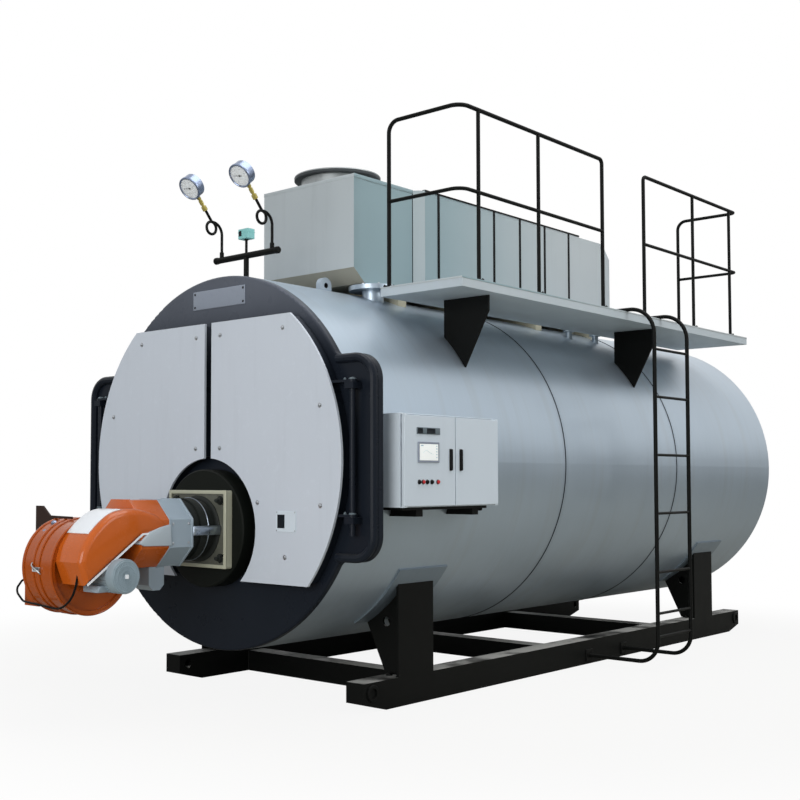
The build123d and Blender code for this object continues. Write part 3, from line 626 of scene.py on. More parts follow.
BOLT_ZINC = BareMetal("bolt_zinc", (176, 180, 184), 0.32, tarnish=0.2)
STRAP_STEEL = BareMetal("strap_steel", (150, 160, 172), 0.3, tarnish=0.15, lines=0.1)
RUBBER = Paint("rubber_black", (14, 14, 15), 0.75, gloss=0.15, mottle=0.2, peel=0.3, dust=0.12, wear=0.0)
PLATE_SILVER = BareMetal("plate_silver", (138, 146, 159), 0.46, 0.4, tarnish=0.08, lines=0.12)
TRAY_GREY = Paint("tray_grey", (172, 182, 188), 0.4, gloss=0.2, mottle=0.04, dust=0.05)
WHITE_COVER = Paint("white_cover", (226, 229, 232), 0.32, coat=0.2, mottle=0.03, dust=0.06)
# The dial's faint glow is painted light; no lamp lights it from inside.
DIAL_WHITE = Lit("dial_white", (232, 236, 238), 0.5, glow=0.05)
DIAL_GREY = Paint("dial_grey", (150, 154, 160), 0.55, mottle=0.05, peel=0.0, dust=0.0, streak=0.0, wear=0.0)
DIAL_BLACK = replace(DIAL_GREY, name="dial_black", colour=(16, 17, 20))
SCREEN_LIGHT = Lit("screen_light", (240, 243, 240), 0.25, glow=0.25)
SCREEN_MARK = Lit("screen_mark", (150, 176, 190), 0.3, glow=0.15)
BUTTON_RED = Paint("button_red", (196, 36, 40), 0.35, mottle=0.04, peel=0.05, wear=0.0)
METER_DARK = Paint("meter_dark", (24, 29, 34), 0.3, gloss=0.12, mottle=0.1, peel=0.05)
METER_GREY = Paint("meter_grey", (98, 110, 116), 0.35, gloss=0.2, mottle=0.05, peel=0.05)
GLASS = Clear("gauge_glass", (248, 250, 252), 0.02)
MOTOR_GREY = Paint("motor_grey", (136, 152, 160), 0.4, gloss=0.25, mottle=0.05, peel=0.25, dust=0.08)

NODE_FINISH: dict[Finish, tuple[str, ...]] = {
    FRAME_BLACK: (
        "deck_brackets", "front_handrail", "rear_handrail", "ladder", "cabinet_shelf", "gauge_header",
        "siphons", "burner_pipe",
    ),
    SKID_BLACK: ("skid_beams", "cross_beams", "saddles"),
    SHELL_SILVER: (
        "shell_front", "shell_middle", "shell_rear", "rear_plate", "rear_cover", "nozzles", "lifting_lugs",
    ),
    PAD_GREY: ("saddle_pads",),
    FRONT_NAVY: ("front_plate", "left_door", "right_door", "hinge_bearings"),
    PANEL_GREY: ("left_door_panel", "right_door_panel"),
    DECK_GREY: ("deck",),
    ECO_GREY: ("economizer_outlet", "economizer_body", "economizer_rear"),
    SUPPORT_CREAM: ("economizer_supports",),
    FLUE_STEEL: ("flue_neck",),
    CABINET_GREY: ("cabinet", "cabinet_front_door", "cabinet_rear_door"),
    BURNER_ORANGE: ("burner_hood",),
    DRUM_ORANGE_SHADED: ("burner_fan", "burner_inlet"),
    BURNER_GREY: ("burner_head", "burner_valve"),
    MOTOR_GREY: ("burner_motor",),
    BURNER_DARK: ("burner_throat",),
    BURNER_PLATE: ("burner_plate",),
    BURNER_BROWN: ("burner_bracket",),
    FLANGE_SOOTED: ("burner_flange",),
    BRASS: ("gauge_cocks",),
    GAUGE_STEEL: ("gauges",),
    SWITCH_TEAL: ("pressure_switch",),
}


def dress_nodes() -> None:
    """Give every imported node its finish."""
    for finish, names in NODE_FINISH.items():
        for name in names:
            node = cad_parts[name]
            node.data.materials.clear()
            node.data.materials.append(finish.material())
            LOG.info("node %s is %s", name, finish.name)


class Piece:
    """One object on the bench, shaped by operators and then settled on a body."""

    def __init__(self, made: bpy.types.Object) -> None:
        """Take over an object that an operator has just made."""
        self.made = made

    @staticmethod
    def clear() -> None:
        """Deselect everything, so that the next operator acts on its own object alone."""
        bpy.ops.object.select_all(action="DESELECT")

    @staticmethod
    def edit_all() -> None:
        """Enter edit mode with everything selected."""
        bpy.ops.object.mode_set(mode="EDIT")
        bpy.ops.mesh.select_all(action="SELECT")

    @staticmethod
    def draw(step: Sequence[float]) -> None:
        """Draw what is selected out by a step."""
        bpy.ops.mesh.extrude_region_move(TRANSFORM_OT_translate={"value": step})

    @classmethod
    def fresh(cls) -> "Piece":
        """The active object with its place applied to its mesh."""
        bpy.ops.object.transform_apply(location=True, rotation=True, scale=True)
        return cls(bpy.context.object)

    @classmethod
    def block(cls, low: Point, high: Point) -> "Piece":
        """Box between two corners, as a start.

        Args:
            low: Lowest corner.
            high: Highest corner.

        Returns:
            The box.
        """
        cls.clear()
        middle = [(a + b) / 2 for a, b in zip(low, high)]
        sizes = [b - a for a, b in zip(low, high)]
        bpy.ops.mesh.primitive_cube_add(size=1.0, location=middle, scale=sizes)
        return cls.fresh()

    @classmethod
    def turned(cls, stations: Sequence[Spot], sides: int = 32) -> "Piece":
        """Round shape about Z, built upwards from a disc by extruding and resizing its top.

        Args:
            stations: (radius, height) pairs from the bottom up.
            sides: Sides round the axis.

        Returns:
            The shape, upright at the origin.
        """
        cls.clear()
        radius, height = stations[0]
        bpy.ops.mesh.primitive_circle_add(
            vertices=sides, radius=radius, fill_type="NGON", location=(0, 0, height))
        cls.edit_all()
        for wide, high in stations[1:]:
            cls.draw((0, 0, high - height))
            share = wide / radius
            bpy.ops.transform.resize(value=(share, share, 1.0), center_override=(0, 0, high))
            radius, height = wide, high
        bpy.ops.object.mode_set(mode="OBJECT")
        return cls.fresh()

    @classmethod
    def ribbon(cls, points: Sequence[Point], across: Point, thickness: float) -> "Piece":
        """Strip of sheet drawn along points by extruding one edge.

        Args:
            points: Line of the strip's first side.
            across: Step to its other side.
            thickness: Thickness of the sheet.

        Returns:
            The strip.
        """
        cls.clear()
        bpy.ops.mesh.primitive_plane_add(size=1.0)
        piece = cls.fresh()
        piece.pick_points(lambda spot: spot.y > 0)
        bpy.ops.mesh.delete(type="VERT")
        bpy.ops.object.mode_set(mode="OBJECT")
        start = Vector(points[0])
        for vertex, spot in zip(piece.made.data.vertices, (start, start + Vector(across))):
            vertex.co = spot
        bpy.ops.object.mode_set(mode="EDIT")
        bpy.ops.mesh.select_mode(type="EDGE")
        bpy.ops.mesh.select_all(action="SELECT")
        for before, after in zip(points, points[1:]):
            cls.draw(Vector(after) - Vector(before))
        bpy.ops.object.mode_set(mode="OBJECT")
        return piece.outward().thick(thickness)

    @classmethod
    def slab(cls, outline: Sequence[Point], step: Point) -> "Piece":
        """Flat plate: a disc whose rim is moved to an outline and drawn out.

        Args:
            outline: Corners of the plate in order.
            step: Thickness as a vector.

        Returns:
            The plate.
        """
        cls.clear()
        bpy.ops.mesh.primitive_circle_add(vertices=len(outline), radius=1.0, fill_type="NGON")
        piece = cls.fresh()
        for vertex, spot in zip(piece.made.data.vertices, outline):
            vertex.co = spot
        piece.made.data.update()
        piece.pick(lambda spot, normal: True)
        cls.draw(step)
        return piece.done().outward()

    @classmethod
    def hoop(cls, low: Point, high: Point, axis: int, wall: float) -> "Piece":
        """Rectangular frame: a box whose two ends are inset and bridged.

        Args:
            low: Lowest corner.
            high: Highest corner.
            axis: Axis that the opening runs along, from 0 to 2.
            wall: Width of the frame's bars.

        Returns:
            The frame.
        """
        piece = cls.block(low, high)
        piece.pick(lambda spot, normal: abs(normal[axis]) > LEVEL_COSINE)
        bpy.ops.mesh.inset(thickness=wall)
        bpy.ops.mesh.bridge_edge_loops()
        return piece.done()

    @classmethod
    def wire(cls, points: Sequence[Point], radius: float, smooth: bool = True) -> "Piece":
        """Round bar along points.

        Args:
            points: Control points.
            radius: Radius of the bar.
            smooth: Whether the line bends smoothly or has corners.

        Returns:
            The bar as a mesh.
        """
        cls.clear()
        curve = bpy.data.curves.new("wire", "CURVE")
        curve.dimensions = "3D"
        curve.bevel_depth = radius
        curve.bevel_resolution = 3
        curve.use_fill_caps = True
        spline = curve.splines.new("NURBS" if smooth else "POLY")
        spline.points.add(len(points) - 1)
        for target, spot in zip(spline.points, points):
            target.co = (*spot, 1.0)
        if smooth:
            spline.order_u = 3
            spline.use_endpoint_u = True
            spline.resolution_u = 8
        made = bpy.data.objects.new("wire", curve)
        bpy.context.scene.collection.objects.link(made)
        made.select_set(True)
        bpy.context.view_layer.objects.active = made
        bpy.ops.object.convert(target="MESH")
        return cls(bpy.context.object)

    @classmethod
    def bead(
        cls, radius: float, bar: float, squash: float, place: Matrix, sides: tuple[int, int] = (96, 8),
    ) -> "Piece":
        """Ring of bar about an axis.

        Args:
            radius: Radius of the ring.
            bar: Radius of the bar.
            squash: Factor on the bar's height along the axis.
            place: Matrix that takes the ring from lying at the origin to its place.
            sides: Sides round the ring and round the bar.

        Returns:
            The ring.
        """
        cls.clear()
        bpy.ops.mesh.primitive_torus_add(
            major_radius=radius, minor_radius=bar, major_segments=sides[0], minor_segments=sides[1])
        piece = cls.fresh().pick(lambda spot, normal: True)
        bpy.ops.transform.resize(value=(1.0, 1.0, squash), center_override=(0, 0, 0))
        return piece.done().moved(place)

    @classmethod
    def plate(
        cls, low: Point, high: Point, way: Way, field: Spot, edge: float = 0.0, segments: int = 2,
    ) -> "Piece":
        """Box with an inset field on one side, and its edges rounded.

        Args:
            low: Lowest corner.
            high: Highest corner.
            way: Direction that the side with the field looks.
            field: Width of the border round the field, and how far the field stands out.
            edge: Radius of the edges, or zero for sharp ones.
            segments: Steps round an edge.

        Returns:
            The plate.
        """
        piece = cls.block(low, high).inset(way, *field)
        return piece.rounded(edge, segments) if edge else piece

    @classmethod
    def letters(cls, text: str, size: float, depth: float) -> "Piece":
        """Plain figures as a thin mesh, lying at the origin and facing up.

        Args:
            text: The figures.
            size: Size of the type.
            depth: How far they reach to each side of their plane.

        Returns:
            The figures as one piece.
        """
        cls.clear()
        bpy.ops.object.text_add(location=(0, 0, 0))
        made = bpy.context.object
        made.data.body = text
        made.data.size = size
        made.data.extrude = depth
        made.data.align_x = "CENTER"
        made.data.align_y = "CENTER"
        bpy.ops.object.convert(target="MESH")
        return cls(bpy.context.object)

    def active(self) -> None:
        """Make this the only selected object."""
        self.clear()
        self.made.select_set(True)
        bpy.context.view_layer.objects.active = self.made

    def pick(self, test: FaceTest) -> "Piece":
        """Enter edit mode with the faces selected that pass a test.

        Args:
            test: Test of a face's centre and normal.

        Returns:
            This piece.
        """
        self.active()
        mesh = self.made.data
        bpy.context.tool_settings.mesh_select_mode = (False, False, True)
        for group in (mesh.vertices, mesh.edges):
            group.foreach_set("select", [False] * len(group))
        for face in mesh.polygons:
            face.select = test(face.center, face.normal)
        bpy.ops.object.mode_set(mode="EDIT")
        return self

    def pick_points(self, test: Callable[[Vector], bool]) -> "Piece":
        """Enter edit mode with the vertices selected that pass a test.

        Args:
            test: Test of a vertex's place.

        Returns:
            This piece.
        """
        self.active()
        mesh = self.made.data
        bpy.context.tool_settings.mesh_select_mode = (True, False, False)
        for group in (mesh.polygons, mesh.edges):
            group.foreach_set("select", [False] * len(group))
        for vertex in mesh.vertices:
            vertex.select = test(vertex.co)
        bpy.ops.object.mode_set(mode="EDIT")
        return self

    def done(self) -> "Piece":
        """Leave edit mode."""
        bpy.ops.object.mode_set(mode="OBJECT")
        return self

    def face(self, way: Way) -> "Piece":
        """Enter edit mode with the faces selected that look one way."""
        return self.pick(lambda spot, normal: normal.dot(Vector(way.value)) > LEVEL_COSINE)

    def bored(self, wall: float) -> "Piece":
        """Bore a turned shape from end to end along its axis.

        Args:
            wall: Width of the wall that is left at its ends.

        Returns:
            This piece.
        """
        self.pick(lambda spot, normal: abs(normal.z) > LEVEL_COSINE and spot.xy.length < AXIS_REACH)
        bpy.ops.mesh.inset(thickness=wall)
        bpy.ops.mesh.bridge_edge_loops()
        return self.done()

    def inset(self, way: Way, width: float, depth: float) -> "Piece":
        """Inset the faces that look one way, and sink or raise them.

        Args:
            way: Direction that the faces look.
            width: Width of the border that is left round them.
            depth: How far they stand out, or below zero how far they sink.

        Returns:
            This piece.
        """
        self.face(way)
        bpy.ops.mesh.inset(thickness=width, depth=depth)
        return self.done()

    def extrude(self, way: Way, step: Point) -> "Piece":
        """Draw the faces that look one way out by a step.

        Args:
            way: Direction that the faces look.
            step: How far they go.

        Returns:
            This piece.
        """
        self.face(way)
        self.draw(step)
        return self.done()

    def taper(self, way: Way, shares: Point, centre: Point) -> "Piece":
        """Resize the faces that look one way about a centre.

        Args:
            way: Direction that the faces look.
            shares: Factor along each axis.
            centre: Point that stays where it is.

        Returns:
            This piece.
        """
        self.face(way)
        bpy.ops.transform.resize(value=shares, center_override=centre)
        return self.done()

    def modified(self, kind: str, **settings: object) -> "Piece":
        """Add a modifier, set it and apply it.

        Args:
            kind: Type of the modifier.
            **settings: Its settings.

        Returns:
            This piece.
        """
        self.active()
        modifier = self.made.modifiers.new(kind.lower(), kind)
        for name, setting in settings.items():
            setattr(modifier, name, setting)
        bpy.ops.object.modifier_apply(modifier=modifier.name)
        return self

    def rounded(self, width: float, segments: int = 2) -> "Piece":
        """Round the sharp edges."""
        return self.modified(
            "BEVEL", width=width, segments=segments, limit_method="ANGLE", angle_limit=SHARP_ANGLE)

    def thick(self, thickness: float) -> "Piece":
        """Give a sheet its thickness, half to each side."""
        return self.modified("SOLIDIFY", thickness=thickness, offset=0.0)

    def outward(self) -> "Piece":
        """Merge doubles and turn all faces outwards."""
        self.active()
        self.edit_all()
        bpy.ops.mesh.remove_doubles(threshold=MERGE_GAP)
        bpy.ops.mesh.normals_make_consistent(inside=False)
        return self.done()

    def moved(self, place: Matrix) -> "Piece":
        """Put the mesh in its place."""
        self.made.data.transform(place)
        return self

    def copies(self, places: Iterable[Matrix]) -> "Piece":
        """One piece of copies; the pattern itself is used up.

        Args:
            places: One matrix for each copy.

        Returns:
            The copies as one piece.
        """
        made = []
        for place in places:
            twin = self.made.copy()
            twin.data = self.made.data.copy()
            twin.data.transform(place)
            bpy.context.scene.collection.objects.link(twin)
            made.append(Piece(twin))
        bpy.data.objects.remove(self.made)
        return Piece.joined(made)

    @classmethod
    def joined(cls, pieces: Sequence["Piece"]) -> "Piece":
        """Several pieces as one object.

        Args:
            pieces: The pieces; the first takes in the others.

        Returns:
            The whole.
        """
        cls.clear()
        for piece in pieces:
            piece.made.select_set(True)
        bpy.context.view_layer.objects.active = pieces[0].made
        if len(pieces) > 1:
            bpy.ops.object.join()
        return cls(bpy.context.object)

    def settle(self, name: str, finish: Finish, body: Body = Body.BOILER, slot: str = "") -> "Piece":
        """Name the piece, smooth it, give it its finish and let it ride on a body.

        Args:
            name: Piece name.
            finish: Its finish.
            body: Body that it moves with.
            slot: Material slot of the record that it belongs to, if any; not used.

        Returns:
            The piece.
        """
        self.outward()
        bpy.ops.object.shade_smooth_by_angle(angle=SHARP_ANGLE)
        self.made.name = name
        self.made.data.name = name
        self.made.data.materials.clear()
        self.made.data.materials.append(finish.material())
        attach(self.made, body.value)
        LOG.info("piece %s on %s in %s", name, body.value, finish.name)
        return self


def hex_bolt(radius: float, height: float) -> Piece:
    """Hexagon bolt head on a washer, upright at the origin.

    Args:
        radius: Radius over the hexagon's corners.
        height: Height of the head.

    Returns:
        The bolt head.
    """
    washer = Piece.turned([(radius * 1.25, -0.001), (radius * 1.3, 0.0), (radius * 1.3, height * 0.22)], 20)
    head = Piece.turned([(radius, 0.0), (radius, height * 0.8), (radius * 0.86, height)], 6)
    stations = [(radius * 0.5, height * 0.9), (radius * 0.5, height * 1.3), (radius * 0.4, height * 1.4)]
    tip = Piece.turned(stations, 12)
    return Piece.joined([washer, head, tip])


def dome_screw(radius: float, height: float) -> Piece:
    """Dome-headed screw on a washer, upright at the origin.

    Args:
        radius: Radius of the head.
        height: Height of the head.

    Returns:
        The screw head.
    """
    stations = [
        (radius * 1.5, -0.001), (radius * 1.5, height * 0.2), (radius * 1.02, height * 0.22),
        (radius, height * 0.6), (radius * 0.8, height * 0.9), (radius * 0.4, height),
        (radius * 0.36, height * 0.7),
    ]
    return Piece.turned(stations, 20)


def ring_places(centre: Point, radius: float, count: int, way: Way, start: float = 0.0) -> list[Matrix]:
    """Places on a circle about an axis, all pointing along it.

    Args:
        centre: Centre of the circle.
        radius: Its radius.
        count: Number of places.
        way: Direction of the axis.
        start: First angle in radians.

    Returns:
        One matrix for each place.
    """
    whole = aimed(centre, way)
    turns = [start + math.tau * number / count for number in range(count)]
    return [whole @ Matrix.Rotation(turn, 4, "Z") @ Matrix.Translation((radius, 0, 0)) for turn in turns]


def corner_places(xs: Spot, zs: Spot, inset: float, y: float, spin: float = 0.0) -> list[Matrix]:
    """Places at the corners of an upright rectangle, all pointing to the front.

    Args:
        xs: Left and right side of the rectangle.
        zs: Its lower and upper edge.
        inset: How far in from the edges the places are.
        y: Where the rectangle stands.
        spin: Turn of each place about its own axis, in radians.

    Returns:
        One matrix for each corner.
    """
    spots = [(x, z) for x in (xs[0] + inset, xs[1] - inset) for z in (zs[0] + inset, zs[1] - inset)]
    return [aimed((x, y, z), Way.FRONT, spin) for x, z in spots]


def spokes(centre: Point, count: int) -> list[Matrix]:
    """Places for even copies of one spoke about an axis along X."""
    turns = [math.tau * number / count for number in range(count)]
    return [Matrix.Translation(centre) @ Matrix.Rotation(turn, 4, "X") for turn in turns]


def smooth_line(knots: Sequence[Spot], steps: int) -> list[Spot]:
    """Points of a smooth line through knots.

    Args:
        knots: Points that the line passes through.
        steps: Points for each span between two knots.

    Returns:
        The line's points, from the first knot to the last.
    """
    ends = [knots[0], *knots, knots[-1]]
    line = []
    for span in zip(ends, ends[1:], ends[2:], ends[3:]):
        for share in (step / steps for step in range(steps)):
            line.append(tuple(
                b + share * (
                    c - a + share * (2 * a - 5 * b + 4 * c - d + share * (3 * b - a - 3 * c + d))) / 2
                for a, b, c, d in zip(*span)))
    return [*line, tuple(knots[-1])]


@dataclass
class ShellTrim:
    """Joint bands round the shell, bolts of the rear cover, studs of the flanges, and dark rings in the lug
    holes as painted shade.
    """

    radius: float = 1.150
    axis_z: float = 1.472
    band_sides: int = 180
    band_width: float = 0.034
    band_rise: float = 0.0016
    line_width: float = 0.005
    rear_y: float = 3.082
    cover_bolts: int = 16
    cover_pcd: float = 0.296
    cover_bolt: Spot = (0.016, 0.013)
    grip_half: float = 0.09
    grip_out: float = 0.02
    grip_radius: float = 0.009
    nozzles: tuple[tuple[Point, float, float], ...] = (
        ((0.395, -1.615, 2.6354), 0.135, 0.008),
        ((0.540, 0.611, 2.556), 0.036, 0.006),
        ((0.540, 1.018, 2.556), 0.036, 0.006),
    )
    nozzle_studs: int = 8
    first_stud: float = 0.2
    lug_hole: Point = (0.250, -1.937, 2.6215)
    hole_shade_wall: float = 0.004

    def band(self, y: float, width: float, rise: float) -> Piece:
        """Thin hoop round the shell, drawn from a circle.

        Args:
            y: Front edge of the hoop.
            width: Its width.
            rise: How far it stands over the sheet.

        Returns:
            The hoop.
        """
        Piece.clear()
        bpy.ops.mesh.primitive_circle_add(
            vertices=self.band_sides, radius=self.radius + rise / 2, location=(0, y, self.axis_z),
            rotation=(math.pi / 2, 0, 0))
        piece = Piece.fresh()
        piece.edit_all()
        piece.draw((0, width, 0))
        return piece.done().outward().thick(rise)

    def build(self) -> None:
        """Make the bands, bolts, studs and the dark rings of painted shade in the lug holes."""
        for number, seam in enumerate(SEAMS, 1):
            self.band(seam, self.band_width, self.band_rise).settle(f"seam_band_{number}", SHELL_SILVER)
            line = self.band(seam - self.line_width, self.line_width, self.band_rise * 2)
            line.settle(f"seam_line_{number}", RUBBER)
        places = ring_places((0, self.rear_y, self.axis_z), self.cover_pcd, self.cover_bolts, Way.BACK)
        hex_bolt(*self.cover_bolt).copies(places).settle("rear_cover_bolts", BOLT_ZINC)
        bends = ((-1, 0.0), (-1, self.grip_out), (1, self.grip_out), (1, 0.0))
        grip = [(side * self.grip_half, self.rear_y + out, self.axis_z) for side, out in bends]
        Piece.wire(grip, self.grip_radius).settle("rear_cover_grip", FRAME_BLACK)
        studs = []
        for face, pcd, size in self.nozzles:
            places = ring_places(face, pcd, self.nozzle_studs, Way.UP, self.first_stud)
            studs.append(hex_bolt(size, size).copies(places))
        Piece.joined(studs).settle("nozzle_studs", BOLT_ZINC)
        # Dark rings lining the lug holes: painted shade in the holes.
        x, y, z = self.lug_hole
        hole_shade = Piece.turned([(0.0175, -0.021), (0.0178, -0.020), (0.0178, 0.020), (0.0175, 0.021)])
        places = [aimed((side * x, y, z), Way.RIGHT) for side in SIDES]
        hole_shade.bored(self.hole_shade_wall).copies(places).settle("lug_hole_shade", RUBBER)


@dataclass
class FrontTrim:
    """Screws, window plate and bare nameplate of the round front, and the rims of its ears."""

    face_y: float = -2.711
    plate_y: float = -2.621
    screws: tuple[Spot, ...] = (
        (0.647, 2.239), (0.110, 2.239), (0.940, 1.778), (0.110, 1.553), (0.945, 1.218), (0.442, 1.229),
        (0.668, 0.920),
    )
    panel_screw: Spot = (0.0095, 0.008)
    window_x: Spot = (0.597, 0.758)
    window_z: Spot = (1.064, 1.185)
    window_inset: float = 0.008
    window_screw: Spot = (0.0028, 0.003)
    pane_x: Spot = (0.612, 0.668)
    pane_z: Spot = (1.086, 1.163)
    name_x: Spot = (-0.238, 0.238)
    name_z: Spot = (2.430, 2.547)
    name_inset: float = 0.017
    name_rise: float = 0.005
    name_screw: Spot = (0.0055, 0.005)
    rim_radius: float = 0.026
    ear_out: float = 1.288
    ear_root: float = 1.000
    ear_z: Spot = (0.907, 2.063)
    ear_corner: float = 0.150
    corner_steps: int = 8
    hinge: Spot = (1.145, -2.667)
    set_screw_in: float = 0.055
    set_screw: Spot = (0.009, 0.010)
    lug_tops: Spot = (1.172, 1.913)

    def build(self) -> None:
        """Make all pieces of the front."""
        for side, body, name in ((-1, Body.LEFT_DOOR, "left"), (1, Body.RIGHT_DOOR, "right")):
            places = [aimed((side * x, self.face_y, z), Way.FRONT) for x, z in self.screws]
            dome_screw(*self.panel_screw).copies(places).settle(f"{name}_panel_screws", BOLT_ZINC, body)
            self.ear_rim(side).settle(f"{name}_ear_rim", FRONT_NAVY, slot="front_navy")
            self.pin_caps(side).settle(f"{name}_pin_caps", METER_GREY, body)
        self.window_plate()
        self.nameplate()

    def ear_rim(self, side: int) -> Piece:
        """Rolled rim along the outer edge of one ear.

        Args:
            side: Minus one for the left ear, one for the right.

        Returns:
            The rim.
        """
        inset = self.rim_radius * 0.9
        turn = self.ear_corner - inset
        bend = self.ear_out - self.ear_corner
        low, high = self.ear_z[0] + self.ear_corner, self.ear_z[1] - self.ear_corner
        angles = [math.pi / 2 * step / self.corner_steps for step in range(self.corner_steps + 1)]
        line = [(self.ear_root, high + turn)]
        line += [(bend + turn * math.sin(angle), high + turn * math.cos(angle)) for angle in angles]
        line += [(bend + turn * math.cos(angle), low - turn * math.sin(angle)) for angle in angles]
        line.append((self.ear_root, low - turn))
        y = self.plate_y - self.rim_radius * 0.35
        return Piece.wire([(side * x, y, z) for x, z in line], self.rim_radius, smooth=False)

    def pin_caps(self, side: int) -> Piece:
        """Domed pin heads and a set screw on each hinge lug.

        Args:
            side: Minus one for the left door, one for the right.

        Returns:
            The caps and screws as one piece.
        """
        x, y = side * self.hinge[0], self.hinge[1]
        cap = Piece.turned([(0.021, 0.0), (0.021, 0.006), (0.015, 0.011), (0.006, 0.013)], 24)
        caps = cap.copies([aimed((x, y, top + 0.0002), Way.UP) for top in self.lug_tops])
        inner = x - side * self.set_screw_in
        sets = hex_bolt(*self.set_screw).copies([aimed((inner, y, top), Way.UP) for top in self.lug_tops])
        return Piece.joined([caps, sets])

    def window_plate(self) -> None:
        """Small plate with a dark window on the right panel."""
        y = self.face_y
        low, high = zip(self.window_x, (y - 0.004, y + 0.0005), self.window_z)
        plate = Piece.plate(low, high, Way.FRONT, (0.007, -0.0012), 0.0012)
        plate.settle("window_plate", CABINET_GREY, Body.RIGHT_DOOR)
        low, high = zip(self.pane_x, (y - 0.006, y - 0.002), self.pane_z)
        pane = Piece.plate(low, high, Way.FRONT, (0.006, -0.0016), 0.001)
        pane.settle("window_pane", METER_DARK, Body.RIGHT_DOOR)
        places = corner_places(self.window_x, self.window_z, self.window_inset, y - 0.0032)
        dome_screw(*self.window_screw).copies(places).settle("window_screws", BOLT_ZINC, Body.RIGHT_DOOR)

    def nameplate(self) -> None:
        """Bare plate with four screws above the doors."""
        front = self.plate_y - self.name_rise
        low, high = zip(self.name_x, (front, self.plate_y + 0.0005), self.name_z)
        plate = Piece.plate(low, high, Way.FRONT, (0.006, 0.0008), 0.0012)
        plate.settle("nameplate_blank", PLATE_SILVER)
        places = corner_places(self.name_x, self.name_z, self.name_inset, front)
        dome_screw(*self.name_screw).copies(places).settle("nameplate_screws", DIAL_BLACK)


